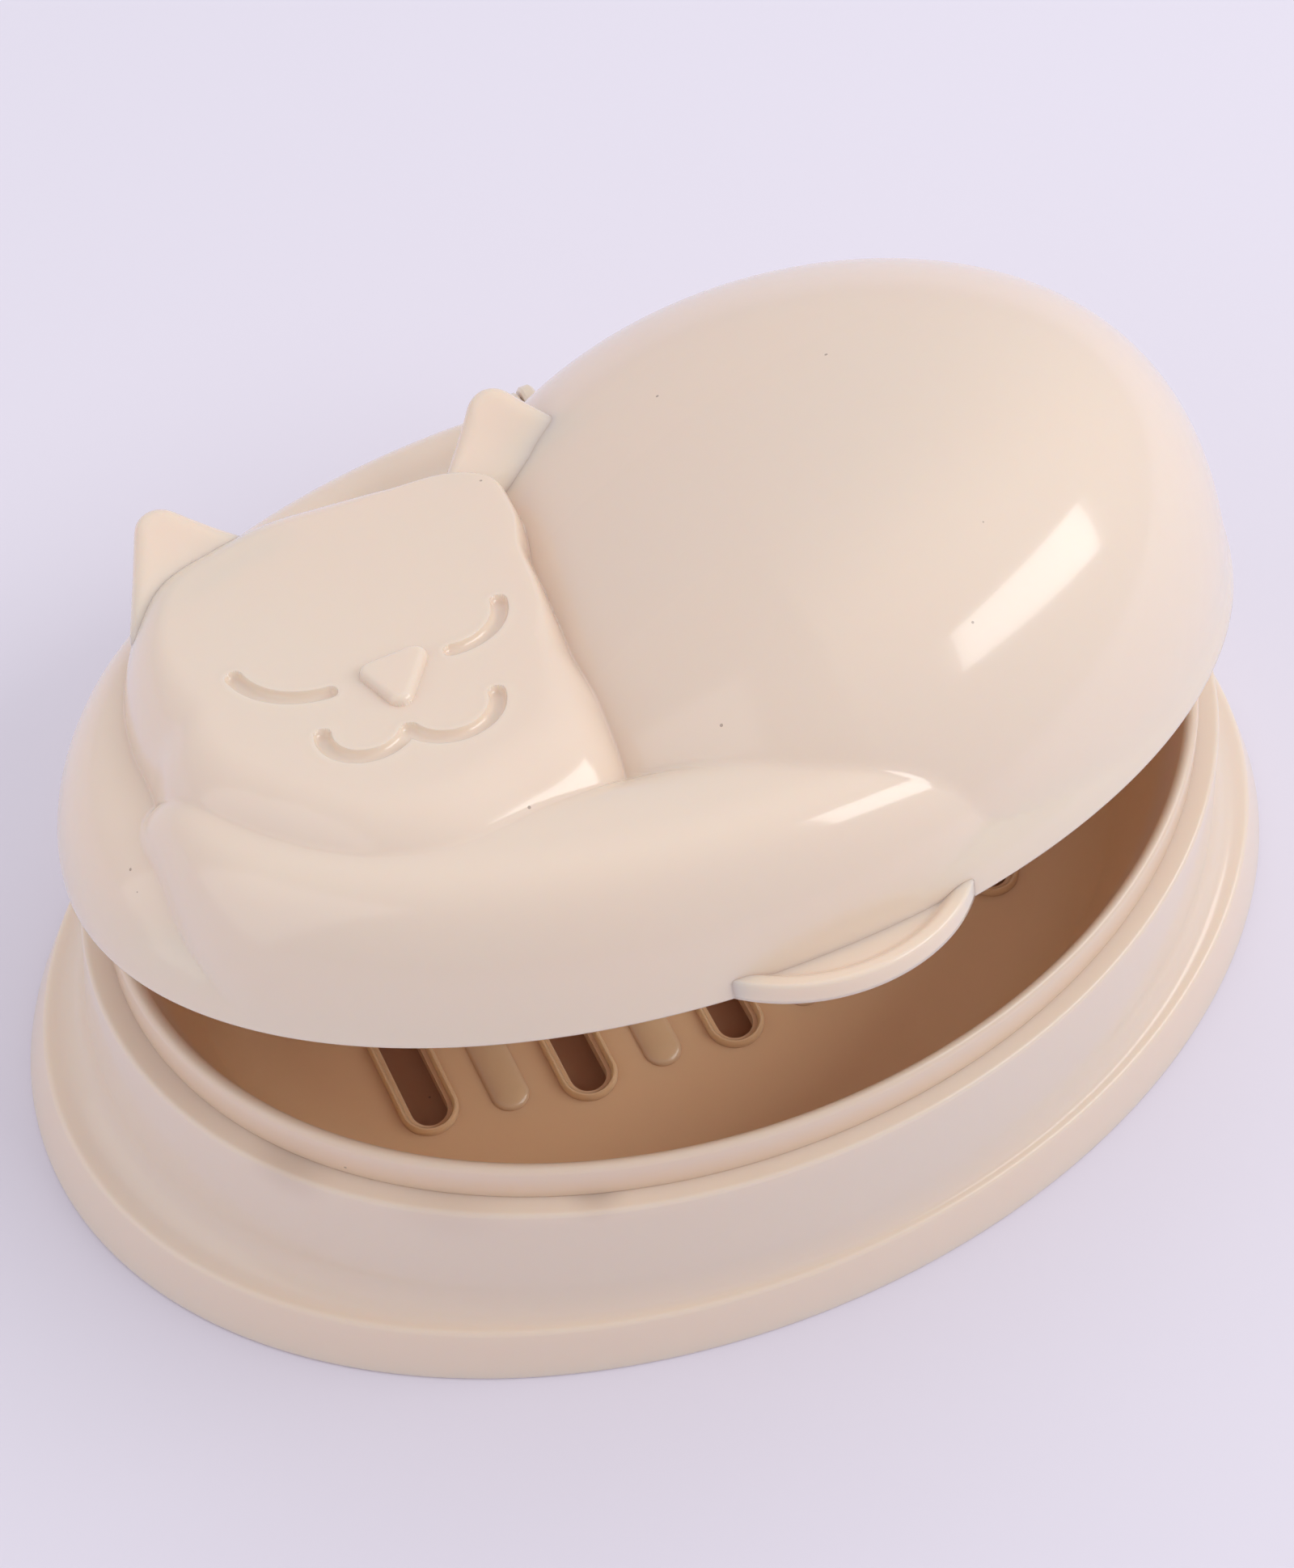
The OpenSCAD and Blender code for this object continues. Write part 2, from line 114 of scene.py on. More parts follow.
class Graph:
    def __init__(self, tree):
        self.tree = tree

    def fill(self, node, inputs):
        for key, value in inputs.items():
            if isinstance(value, Value):
                self.tree.links.new(value.socket, node.inputs[key])
            else:
                node.inputs[key].default_value = value

    def node(self, kind, settings=None, inputs=None):
        node = self.tree.nodes.new(kind)
        for key, value in (settings or {}).items():
            setattr(node, key, value)
        self.fill(node, inputs or {})
        return node

    def add(self, kind, settings=None, inputs=None, output=0):
        return Value(self, self.node(kind, settings, inputs).outputs[output])

    def split(self, vector):
        node = self.node("ShaderNodeSeparateXYZ", None, {"Vector": vector})
        return [Value(self, socket) for socket in node.outputs]

    def combine(self, **axes):
        return self.add("ShaderNodeCombineXYZ", None, axes)

    def noise(self, place, scale, detail, roughness=0.5):
        inputs = {"Vector": place, "Scale": scale, "Detail": detail, "Roughness": roughness}
        return self.add("ShaderNodeTexNoise", None, inputs)

    def ramp(self, value, low, high, first=0.0, last=1.0, kind="SMOOTHSTEP"):
        # goes from first to last while the value goes from low to high
        inputs = {"Value": value, "From Min": low, "From Max": high, "To Min": first, "To Max": last}
        return self.add("ShaderNodeMapRange", {"interpolation_type": kind}, inputs)

    def blend(self, factor, *colours):
        # sockets 6 and 7 and output 2 are the colour ones of a Mix node
        inputs = {"Factor": factor}
        for socket, colour in zip((6, 7), colours):
            inputs[socket] = colour if isinstance(colour, Value) else (*colour, 1)
        return self.add("ShaderNodeMix", {"data_type": "RGBA"}, inputs, output=2)


# finishes

plastics = {
    "dish": {
        "cream": (0.775, 0.640, 0.535),
        "warm": (0.79, 0.635, 0.515),
        "roughness": 0.3,
        "peel": 0.05,
        "seed": 2.0,
        # painted shade: darker and warmer where it is closed in under the tray
        "paintedWarmShade": {"colour": (0.62, 0.33, 0.19), "low": 20.0, "high": 24.0, "within": (58.0, 42.0)},
        # faint rubbed marks: x, y, z, size and strength of each
        "rubs": [(-26.0, -38.9, 27, 4.0, 0.5), (-51.2, -23.2, 27, 6.0, 0.3), (-38.3, -32.5, 27, 8.0, 0.15)],
    },
    "tray": {
        "cream": (0.77, 0.60, 0.475),
        "warm": (0.78, 0.59, 0.46),
        "roughness": 0.3,
        "peel": 0.05,
        "seed": 5.0,
        # painted shade with a painted warm glow of bounced light: turns warm and deep from its lip down to its
        # floor
        "paintedWarmShade": {"colour": (0.88, 0.56, 0.33), "low": 23.0, "high": 30.8},
    },
    "cover": {
        "cream": (0.80, 0.660, 0.545),
        "warm": (0.81, 0.650, 0.530),
        "roughness": 0.15,
        "peel": 0.03,
        "seed": 9.0,
    },
}
# shared by the three plastics; a scale counts cells in a metre
mouldMarks = {
    "driftScale": 16.0,
    "driftBand": (0.35, 0.65),
    "speckScale": 210.0,
    "speckSize": 0.034,
    "speckShare": 0.16,
    "speckStrength": 0.55,
    "speckColour": (0.16, 0.10, 0.07),
    "rubColour": (0.33, 0.24, 0.19),
    "wipeScale": 30.0,
    "wipeBand": (0.3, 0.7),
    "wipeChange": (-0.02, 0.03),
    "peelScale": 420.0,
    "peelRoughness": 0.45,
    "peelDepth": 0.0004,
}
plasticBody = {
    "IOR": 1.5,
    "Subsurface Weight": 0.3,
    "Subsurface Radius": (1.0, 0.62, 0.36),
    "Subsurface Scale": 0.005,
    "Coat Weight": 0.3,
    "Coat Roughness": 0.05,
}


def makePlastic(name, marks):
    look = plastics[name]
    material = bpy.data.materials.new(name + " plastic")
    material.use_nodes = True
    graph = Graph(material.node_tree)
    place = graph.add("ShaderNodeTexCoord", output="Object")
    shifted = graph.add("ShaderNodeMapping", None, {"Vector": place, "Location": (look["seed"], 0, 0)})
    # broad drift of tone, as moulded resin has
    drift = graph.ramp(graph.noise(shifted, marks["driftScale"], 2.0), *marks["driftBand"])
    tone = graph.blend(drift, look["cream"], look["warm"])
    # painted shade: a darker, warmer tone low down, standing in for the shade and warm bounced light in the hollows
    paintedWarmShade = look.get("paintedWarmShade")
    if paintedWarmShade:
        x, y, z = graph.split(place)
        down = graph.ramp(z, paintedWarmShade["low"] * mm, paintedWarmShade["high"] * mm, 1.0, 0.0)
        if "within" in paintedWarmShade:
            x, y = (axis / (half * mm) for axis, half in zip((x, y), paintedWarmShade["within"]))
            down = down * (x * x + y * y).below(1.0)
        tone = graph.blend(down, tone, paintedWarmShade["colour"])
    # a few dark specks of dust in the moulding
    cellSize = {"Vector": shifted, "Scale": marks["speckScale"], "Randomness": 1.0}
    cells = graph.node("ShaderNodeTexVoronoi", {"feature": "F1"}, cellSize)
    distance, colour = (Value(graph, cells.outputs[output]) for output in ("Distance", "Color"))
    pick = graph.add("ShaderNodeSeparateColor", None, {"Color": colour})
    speck = distance.below(marks["speckSize"]) * pick.below(marks["speckShare"])
    tone = graph.blend(speck * marks["speckStrength"], tone, marks["speckColour"])
    # each rubbed mark is a soft patch round one place
    for x, y, z, size, strength in look.get("rubs", ()):
        middle = {0: place, 1: (x * mm, y * mm, z * mm)}
        away = graph.add("ShaderNodeVectorMath", {"operation": "DISTANCE"}, middle, output="Value")
        tone = graph.blend(graph.ramp(away, 0.0, size * mm, strength, 0.0), tone, marks["rubColour"])
    # gloss broken up by handling marks
    gloss = (look["roughness"] + change for change in marks["wipeChange"])
    wipe = graph.noise(shifted, marks["wipeScale"], 1.0)
    rough = graph.ramp(wipe, *marks["wipeBand"], *gloss, "LINEAR")
    peel = graph.noise(shifted, marks["peelScale"], 2.0, marks["peelRoughness"])
    skin = {"Strength": look["peel"], "Distance": marks["peelDepth"], "Height": peel}
    bump = graph.add("ShaderNodeBump", None, skin)
    shader = material.node_tree.nodes["Principled BSDF"]
    graph.fill(shader, {"Base Color": tone, "Roughness": rough, "Normal": bump, **plasticBody})
    return material


dishPlastic, trayPlastic, coverPlastic = (makePlastic(name, mouldMarks) for name in plastics)
print("finishes made")

# mesh helpers


def addObject(name, vertices, faces, material):
    # vertices come in millimetres
    mesh = bpy.data.meshes.new(name)
    mesh.from_pydata((np.array(vertices, float) * mm).tolist(), [], faces)
    mesh.materials.append(material)
    return link(name, mesh)


def bake(thing):
    # turns live modifiers into a plain mesh
    bpy.context.view_layer.update()
    graph = bpy.context.evaluated_depsgraph_get()
    mesh = bpy.data.meshes.new_from_object(thing.evaluated_get(graph))
    thing.modifiers.clear()
    thing.data = mesh
    return thing


def fixNormals(thing):
    work = bmesh.new()
    work.from_mesh(thing.data)
    bmesh.ops.remove_doubles(work, verts=work.verts, dist=1e-6)
    bmesh.ops.dissolve_degenerate(work, edges=work.edges, dist=1e-7)
    bmesh.ops.recalc_face_normals(work, faces=work.faces)
    work.to_mesh(thing.data)
    work.free()
    return thing


def join(name, things, material, sharp):
    whole = bmesh.new()
    for thing in things:
        whole.from_mesh(thing.data)
    mesh = bpy.data.meshes.new(name)
    whole.to_mesh(mesh)
    whole.free()
    for thing in things:
        bpy.data.objects.remove(thing)
    mesh.materials.clear()
    mesh.materials.append(material)
    for face in mesh.polygons:
        face.material_index = 0
    mesh.shade_smooth()
    mesh.set_sharp_from_angle(angle=math.radians(sharp))
    return link(name, mesh)


def arc(cx, cy, radius, start, end, steps):
    turn = [math.radians(start + (end - start) * i / steps) for i in range(steps + 1)]
    return [(cx + radius * math.cos(t), cy + radius * math.sin(t)) for t in turn]


def bevelled(points, rounds, steps):
    # open line of [length, height] corners, with a round at each inner one
    line = [points[0]]
    for before, corner, after, radius in zip(points, points[1:], points[2:], rounds):
        here = Vector(corner)
        toward, away = (Vector(before) - here), (Vector(after) - here)
        half = toward.angle(away) / 2
        reach = min(radius / math.tan(half), toward.length * 0.48, away.length * 0.48)
        start, end = here + toward.normalized() * reach, here + away.normalized() * reach
        for i in range(steps + 1):
            t = i / steps
            line.append(tuple(start * (1 - t) ** 2 + here * 2 * t * (1 - t) + end * t * t))
    line.append(points[-1])
    return line


def between(a, b, count):
    # quads between two closed rings of vertices, from the number of each ring's first one
    return [(a + j, a + (j + 1) % count, b + (j + 1) % count, b + j) for j in range(count)]


def turned(x, y, degrees):
    c, s = math.cos(math.radians(degrees)), math.sin(math.radians(degrees))
    return x * c - y * s, x * s + y * c


# Geometry Nodes trees


def newTree(name, inputs, result):
    tree = bpy.data.node_groups.new(name, "GeometryNodeTree")
    for label, kind in inputs.items():
        tree.interface.new_socket(label, in_out="INPUT", socket_type="NodeSocket" + kind)
    tree.interface.new_socket(result, in_out="OUTPUT", socket_type="NodeSocketGeometry")
    graph = Graph(tree)
    given = graph.node("NodeGroupInput")
    return graph, [Value(graph, given.outputs[i]) for i in range(len(inputs))]


def endTree(graph, shape, finish):
    real = graph.add("GeometryNodeRealizeInstances", None, {"Geometry": shape})
    done = graph.add("GeometryNodeSetMaterial", None, {"Geometry": real, "Material": finish})
    graph.node("NodeGroupOutput", None, {0: done})
    return graph.tree


def grow(thing, tree, values):
    # runs a tree on a piece and keeps the result as its mesh
    modifier = thing.modifiers.new(tree.name, "NODES")
    modifier.node_group = tree
    for item in tree.interface.items_tree:
        if item.in_out == "INPUT" and item.name in values:
            modifier[item.identifier] = values[item.name]
    return fixNormals(bake(thing))


def makeOvalTree():
    # lays a grid over rows of [half length, half width, height]
    inputs = {"Rows": "Geometry", "Steps round": "Int", "Finish": "Material"}
    graph, (rows, steps, finish) = newTree("oval turning", inputs, "Shell")
    count = graph.add("GeometryNodeAttributeDomainSize", {"component": "MESH"}, {"Geometry": rows})
    gridSize = {"Size X": 1.0, "Size Y": 1.0, "Vertices X": steps + 1, "Vertices Y": count}
    grid = graph.add("GeometryNodeMeshGrid", None, gridSize)
    place = graph.add("GeometryNodeInputPosition")
    across, along, _ = graph.split(place)
    row = ((along + 0.5) * (count - 1) + 0.5).apply("FLOOR")
    turn = (across + 0.5) * (2 * math.pi)
    wanted = {"Geometry": rows, "Value": place, "Index": row}
    sample = graph.add("GeometryNodeSampleIndex", {"data_type": "FLOAT_VECTOR"}, wanted)
    halfLength, halfWidth, height = graph.split(sample)
    spot = graph.combine(X=halfLength * turn.apply("COSINE"), Y=halfWidth * turn.apply("SINE"), Z=height)
    moved = graph.add("GeometryNodeSetPosition", None, {"Geometry": grid, "Position": spot})
    # closes the seam and the two poles
    closed = graph.add("GeometryNodeMergeByDistance", None, {"Geometry": moved, "Distance": 0.000002})
    return endTree(graph, closed, finish)


ovalTree = makeOvalTree()


def turnOval(name, rows, steps, material):
    thing = addObject(name, rows, [], material)
    return grow(thing, ovalTree, {"Steps round": steps, "Finish": material})


def asRows(line, ratio):
    return [(a, a * ratio, z) for a, z in line]


# dish

dishSize = {
    "footLength": 145.0,
    "footWidth": 102.2,
    "footHeight": 7.3,
    "footLean": 2.7,
    "footRounds": [0.5, 0.9],
    "flange": 0.9,
    "rimLength": 125.2,
    "rimWidth": 92.2,
    "rimHeight": 27.0,
    "wall": 2.2,
    "ledge": 3.6,
    "ledgeThick": 2.0,
    "floor": 1.8,
    "wallLean": 1.6,
    "wallRounds": [0.7, 0.25, 0.25, 0.6, 1.0, 2.4],
    "flare": 5.6,
    "flareSteps": 14,
    "stepsRound": 320,
}
rimA, footA = dishSize["rimLength"] / 2, dishSize["footLength"] / 2
rimB, rimZ = dishSize["rimWidth"] / 2, dishSize["rimHeight"]
rimRatio = dishSize["rimWidth"] / dishSize["rimLength"]
footRatio = dishSize["footWidth"] / dishSize["footLength"]

hinge = {
    "x": 5.4,
    "y": rimB + 5.3,
    "z": rimZ + 1.6,
    "barrel": 1.8,
    "barrelLength": 4.0,
    "pin": 1.0,
    "gap": 0.08,
    "open": 18.0,
}
# the two plates on the dish that hold the pin
lugSize = {"thick": 1.6, "gap": 0.2, "soft": 0.3, "rim": 0.35, "root": 1.2, "drop": 13, "steps": 120}


def dishRows(size):
    height, flare, wall = size["footHeight"], size["flare"], size["wall"]
    wallLow = rimA + size["wallLean"]
    topA = footA - size["footLean"]
    # the last corner only gives the round before it its direction
    foot = [(0, 0), (footA, 0), (topA, height), (topA - 2.4, height - 0.02)]
    rows = asRows(bevelled(foot, size["footRounds"], 6)[:-1], footRatio)
    # hollow flare from the foot to the wall, wide at the ends and narrow at the sides
    lowA = topA - size["flange"]
    low, high = (lowA, lowA * footRatio), (wallLow, wallLow * rimRatio)
    for i in range(size["flareSteps"], -1, -1):
        t = math.pi / 2 * i / size["flareSteps"]
        spread, drop = 1 - math.cos(t), math.sin(t)
        a, b = (top + (bottom - top) * spread for top, bottom in zip(high, low))
        rows.append((a, b, height + flare * (1 - drop)))
    inA, ledgeZ = rimA - size["ledge"], rimZ - size["ledgeThick"]
    line = [
        (wallLow - 0.02, height + flare + 0.3),
        (rimA, rimZ),
        (inA, rimZ),
        (inA, ledgeZ),
        (rimA - wall, ledgeZ - 1.4),
        (wallLow - wall, height + flare),
        (wallLow - wall, size["floor"]),
        (0, size["floor"]),
    ]
    return rows + asRows(bevelled(line, size["wallRounds"], 6), rimRatio)


def lugOutline(size):
    # how far a plate runs from the bore's middle, in even steps of the turn
    rim, wallY = hinge["barrel"] + size["rim"], rimB - size["root"]
    y, z = hinge["y"], hinge["z"]
    corners = [
        (wallY, rimZ - size["drop"]),
        (y + rim * 0.8, rimZ - 2),
        (y + rim, z),
        (y - rim, z),
        (rimB + 0.9, rimZ - 0.4),
        (wallY, rimZ - size["root"]),
    ]

    def reach(t):
        best = rim
        for (ay, az), (by, bz) in zip(corners, corners[1:] + corners[:1]):
            ux, uz, vx, vz = math.cos(t), math.sin(t), by - ay, bz - az
            det = ux * -vz + uz * vx
            if abs(det) < 1e-9:
                continue
            s = ((ay - y) * -vz + (az - z) * vx) / det
            k = (ux * (az - z) - uz * (ay - y)) / det
            if s > best and -1e-6 <= k <= 1 + 1e-6:
                best = s
        return best

    turns = [2 * math.pi * i / size["steps"] for i in range(size["steps"])]
    return [(t, reach(t)) for t in turns]


def makeLug(x, size):
    outline = lugOutline(size)
    half, soft, bore = size["thick"] / 2, size["soft"], hinge["pin"] + hinge["gap"]
    # rings from the bore's wall, over one face, round the rim and back over the other
    rings = [(-half, None), (-half, -soft), (-half + soft, 0), (half - soft, 0), (half, -soft), (half, None)]
    vertices, faces, count = [], [], len(outline)
    for along, inset in rings:
        for t, reach in outline:
            r = bore if inset is None else reach + inset
            vertices.append((x + along, hinge["y"] + r * math.cos(t), hinge["z"] + r * math.sin(t)))
    for i in range(len(rings)):
        faces += between(i * count, (i + 1) % len(rings) * count, count)
    return fixNormals(addObject("lug", vertices, faces, dishPlastic))


def makeDish():
    shell = turnOval("dishShell", dishRows(dishSize), dishSize["stepsRound"], dishPlastic)
    offset = hinge["barrelLength"] / 2 + lugSize["gap"] + lugSize["thick"] / 2
    lugs = [makeLug(hinge["x"] + side * offset, lugSize) for side in (-1, 1)]
    return join("dishShell", [shell] + lugs, dishPlastic, 30)


dishShell = makeDish()
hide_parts("dish")
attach(dishShell, "base")
print("dish made:", len(dishShell.data.polygons), "faces")

# drain tray

traySize = {
    "lipHeight": 4.9,
    "lipThick": 1.7,
    "seat": 1.0,
    "seatRounds": [1.0, 0.15, 0.25],
    "lean": 0.4,
    "wall": 1.8,
    "wallAngle": -12,
    "floorHeight": 6.0,
    "taper": 5.0,
    "bowlRadius": 9.0,
    "gap": 0.25,
    "stepsRound": 256,
}
slotSize = {
    "count": 5,
    "pitch": 17.0,
    "width": 4.0,
    "reach": 20.8,
    "oval": 54.0,
    "cut": (2, 12),  # from and to these heights
    "beadWidth": 1.9,
    "beadHeight": 0.38,
    "barWidth": 4.2,
    "barHeight": 0.8,
}
ledgeIn = rimA - dishSize["ledge"]
lipOut = ledgeIn + traySize["seat"]
lipIn = lipOut - traySize["lean"] - traySize["lipThick"]
lipTop = rimZ + traySize["lipHeight"]


def trayRows(size):
    floor, radius, wall, angle = (size[k] for k in ("floorHeight", "bowlRadius", "wall", "wallAngle"))
    foot, lipRadius = lipIn - size["taper"], size["lipThick"] / 2
    outer = arc(foot - radius, floor + radius, radius + wall, -90, angle, 18)
    middle, wallA = lipIn + lipRadius, ledgeIn - size["gap"]
    seat = [outer[-1], (wallA, rimZ - 4), (wallA, rimZ), (lipOut, rimZ), (middle + lipRadius, lipTop - lipRadius)]
    seat = bevelled(seat, size["seatRounds"], 3)
    lip = arc(middle, lipTop - lipRadius, lipRadius, 6, 174, 14)
    inner = arc(foot - radius, floor + radius, radius, angle, -90, 22)
    line = [(0, floor - wall)] + outer + seat[1:-1] + lip + inner + [(0, floor)]
    return asRows(line, rimRatio)


def makeSlotCutters(size):
    vertices, faces, radius = [], [], size["width"] / 2
    for i in range(size["count"]):
        x = (i - (size["count"] - 1) / 2) * size["pitch"]
        straight = size["reach"] * math.sqrt(1 - (x / size["oval"]) ** 2) - radius
        outline = [(x + px, straight + py) for px, py in arc(0, 0, radius, 0, 180, 20)]
        outline += [(x + px, -straight + py) for px, py in arc(0, 0, radius, 180, 360, 20)]
        start, n = len(vertices), len(outline)
        vertices += [(px, py, z) for z in size["cut"] for px, py in outline]
        faces.append([start + j for j in range(n)][::-1])
        faces.append([start + n + j for j in range(n)])
        faces += between(start, start + n, n)
    return fixNormals(addObject("slot cutters", vertices, faces, trayPlastic))


def makeTrimTree(names):
    # rounded beads round the slots and low bars between them, from the slots' own rule
    kinds = {"Slots": "Int", "Finish": "Material"}
    graph, given = newTree("drain trim", {name: kinds.get(name, "Float") for name in names}, "Trim")
    slots, pitch, width, reach, oval, beadWide, beadHigh, barWide, barHigh, floor, finish = given

    def rowOf(count, unit):
        start = graph.combine(X=(count - 1) * pitch * -0.5, Z=floor)
        row = {"Count": count, "Start Location": start, "Offset": graph.combine(X=pitch)}
        points = graph.add("GeometryNodeMeshLine", None, row)
        units = graph.add("GeometryNodeInstanceOnPoints", None, {"Points": points, "Instance": unit})
        return graph.add("GeometryNodeRealizeInstances", None, {"Geometry": units})

    def drawnOut(shape, shift, endRadius):
        # pulls the two halves of each round apart by the slot's own straight length
        x, y, _ = graph.split(graph.add("GeometryNodeInputPosition"))
        cell = (x / pitch + shift).apply("ROUND") - shift
        part = cell * pitch / oval
        straight = reach * (1 - part * part) ** 0.5 - endRadius
        pull = graph.combine(Y=y.apply("SIGN") * straight)
        return graph.add("GeometryNodeSetPosition", None, {"Geometry": shape, "Offset": pull})

    def scaled(shape, x, y, z):
        size = graph.combine(X=x, Y=y, Z=z)
        return graph.add("GeometryNodeTransform", None, {"Geometry": shape, "Scale": size})

    def circle(count, radius):
        return graph.add("GeometryNodeCurvePrimitiveCircle", None, {"Resolution": count, "Radius": radius})

    # the bead starts a tenth of a millimetre inside the slot's wall
    path = drawnOut(rowOf(slots, circle(40, width * 0.5 + beadWide * 0.5 - 0.0001)), 0.0, width * 0.5)
    section = scaled(circle(14, 1.0), beadHigh, beadWide * 0.5, 1.0)
    bead = graph.add("GeometryNodeCurveToMesh", None, {"Curve": path, "Profile Curve": section})
    ball = graph.add("GeometryNodeMeshUVSphere", None, {"Segments": 32, "Rings": 20, "Radius": 1.0})
    ball = scaled(ball, barWide * 0.5, barWide * 0.5, barHigh)
    bar = drawnOut(rowOf(slots - 1, ball), 0.5, barWide * 0.5)
    both = graph.node("GeometryNodeJoinGeometry", None, {0: bead})
    graph.fill(both, {0: bar})
    return endTree(graph, Value(graph, both.outputs[0]), finish)


def makeTrim(size):
    lengths = {
        "Pitch": size["pitch"],
        "Slot width": size["width"],
        "Reach": size["reach"],
        "Oval": size["oval"],
        "Bead width": size["beadWidth"],
        "Bead height": size["beadHeight"],
        "Bar width": size["barWidth"],
        "Bar height": size["barHeight"],
        "Floor height": traySize["floorHeight"],
    }
    values = {name: length * mm for name, length in lengths.items()}
    values = {"Slots": size["count"], **values, "Finish": trayPlastic}
    thing = addObject("drain trim", [(0, 0, 0)], [], trayPlastic)
    return grow(thing, makeTrimTree(values), values)


def makeTray():
    shell = turnOval("trayShell", trayRows(traySize), traySize["stepsRound"], trayPlastic)
    cutters = makeSlotCutters(slotSize)
    cut = shell.modifiers.new("slots", "BOOLEAN")
    cut.operation, cut.solver, cut.object = "DIFFERENCE", "EXACT", cutters
    bake(shell)
    bpy.data.objects.remove(cutters)
    return join("trayShell", [shell, makeTrim(slotSize)], trayPlastic, 34)


trayShell = makeTray()
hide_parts("drain_tray")
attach(trayShell, "base")
print("drain tray made:", len(trayShell.data.polygons), "faces")

# cover: its forms are heights over its own closed edge, before it is raised and opened

coverSize = {
    "inset": 0.4,
    "wall": 2.0,
    "skirtWall": 1.25,
    "edgeGap": 0.3,
    "edgeRound": 0.3,
    "edgeBand": 0.12,
    "stepsRound": 440,
}
skirtShape = {"height": 9.4, "power": 13, "lipRoom": 1.7, "hollowPower": 44}
bodyShape = {
    "height": 30.7,
    "rise": 3.0,
    "riseFrom": 20,
    "riseOver": 40,
    "inset": 0.6,
    "power": 4.64,
    # it falls to the left from this x on, over a width; the line where the fall starts
    # tilts and bows with y, turns at the back and steps beside the right ear
    "fallFrom": 50.5,
    "fallOver": 70,
    "fallPower": 2.55,
    "tilt": 0.163,
    "bow": 0.0021,
    "backTurn": 0.16,
    "backFrom": 18,
    "earStep": 1.2,
    "earFrom": 6,
    "earOver": 12,
    # sinks where it meets the leg, from these x and y over these widths
    "legSink": 3.2,
    "sinkFrom": (6, -16),
    "sinkOver": (22, 14),
}
headShape = {
    "x": -30.0,
    "y": -1.0,
    "turn": -8.0,
    "height": 20.2,
    # reach of the head's outline every 15 degrees from the right
    "reach": [
        21.3, 22.9, 27.5, 30.6, 29.6, 29.7, 29.5, 29.2, 29.4, 27.3, 25.2, 23.8,
        23.3, 24.6, 25.7, 26.7, 28.7, 31.2, 33.0, 33.3, 33.6, 29.1, 23.9, 21.5,
    ],
    # width of its rounded edge at the same places, crisp beside the body
    "edge": [
        2.2, 2.2, 2.2, 2.6, 5.5, 8.0, 8.0, 8.0, 8.0, 8.0, 8.0, 8.4,
        9.0, 9.0, 9.0, 9.0, 9.2, 9.5, 10.0, 10.8, 11.0, 9.0, 5.6, 3.0,
    ],
    "edgePower": 2.2,
    "edgeSlope": 0.97,
    # tighter corner beside the right ear: its reach, angle and spread
    "corner": (0.9, 38, 6),
    "crownDrop": 0.8,
    "crownSize": (24, 30),
    # how much smaller the hollow's outline is, per millimetre of wall
    "hollowInset": 2.2,
}
armShape = {
    "height": 16.6,
    "ridge": 0.8,
    "half": 0.2,
    "outerPower": 3.4,
    "innerPower": 2.6,
    "innerStretch": 0.74,
    # angles round the cover, and over how many degrees each end falls
    "pawFrom": 146,
    "pawEnd": 158,
    "pawOver": 22,
    "shoulder": 103,
    "shoulderOver": 40,
    "endPower": 2.6,
    # the paw is narrower and lies further in
    "pawShift": 0.01,
    "pawNarrow": 0.06,
}
tailShape = {
    "height": 9.6,
    "rise": 2,
    "riseOver": 50,
    "ridge": 0.85,
    "half": 0.15,
    "outerPower": 2.2,
    "innerPower": 2.4,
    "power": 0.58,
    "end": 8,
    "endOver": 16,
}
coverA, coverB = rimA - coverSize["inset"], rimB - coverSize["inset"]


def above(x):
    return np.maximum(x, 0)


def share(x):
    return np.clip(x, 0, 1)


def ease(t):
    return t * t * (3 - 2 * t)


def softMax(a, b, k):
    h = share(0.5 + 0.5 * (a - b) / k)
    return b * (1 - h) + a * h + k * h * (1 - h)


def around(values, degrees):
    # smooth curve through values that stand at even steps of a full turn
    v = np.array(values, float)
    n = len(v)
    f = np.mod(degrees, 360) / 360 * n
    i = np.floor(f).astype(int)
    t = f - i
    p, q, r, u = v[(i - 1) % n], v[i % n], v[(i + 1) % n], v[(i + 2) % n]
    return 0.5 * (2 * q + (r - p) * t + (2 * p - 5 * q + 4 * r - u) * t**2 + (3 * q - p - 3 * r + u) * t**3)


def direction(x, y):
    return np.degrees(np.arctan2(y, x))


def ovalReach(x, y, inset):
    # 1 on the cover's edge when it is drawn in by the inset
    return np.hypot(x / (coverA - inset), y / (coverB - inset))


def skirtForm(x, y, drop):
    shape = skirtShape
    if drop:
        room = traySize["lipHeight"] + shape["lipRoom"]
        return room * above(1 - ovalReach(x, y, coverSize["skirtWall"]) ** shape["hollowPower"]) ** 0.5
    return shape["height"] * above(1 - ovalReach(x, y, 0) ** shape["power"]) ** 0.5


def bodyForm(x, y, drop):
    shape = bodyShape
    ro = np.hypot(x / (coverA - shape["inset"] - drop), y / (coverB - drop))
    start = shape["fallFrom"] + shape["tilt"] * y + shape["bow"] * y**2
    start = start - shape["backTurn"] * above(y - shape["backFrom"])
    start = start - shape["earStep"] * share((y - shape["earFrom"]) / shape["earOver"])
    fall = above((start + 2 * drop - x) / shape["fallOver"])
    top = shape["height"] - drop + shape["rise"] * (x - shape["riseFrom"] - y) / shape["riseOver"]
    (fromX, fromY), (overX, overY) = shape["sinkFrom"], shape["sinkOver"]
    top = top - shape["legSink"] * share((fromY - y) / overY) * share((fromX - x) / overX)
    return top * above(1 - ro ** shape["power"] - fall ** shape["fallPower"]) ** 0.5


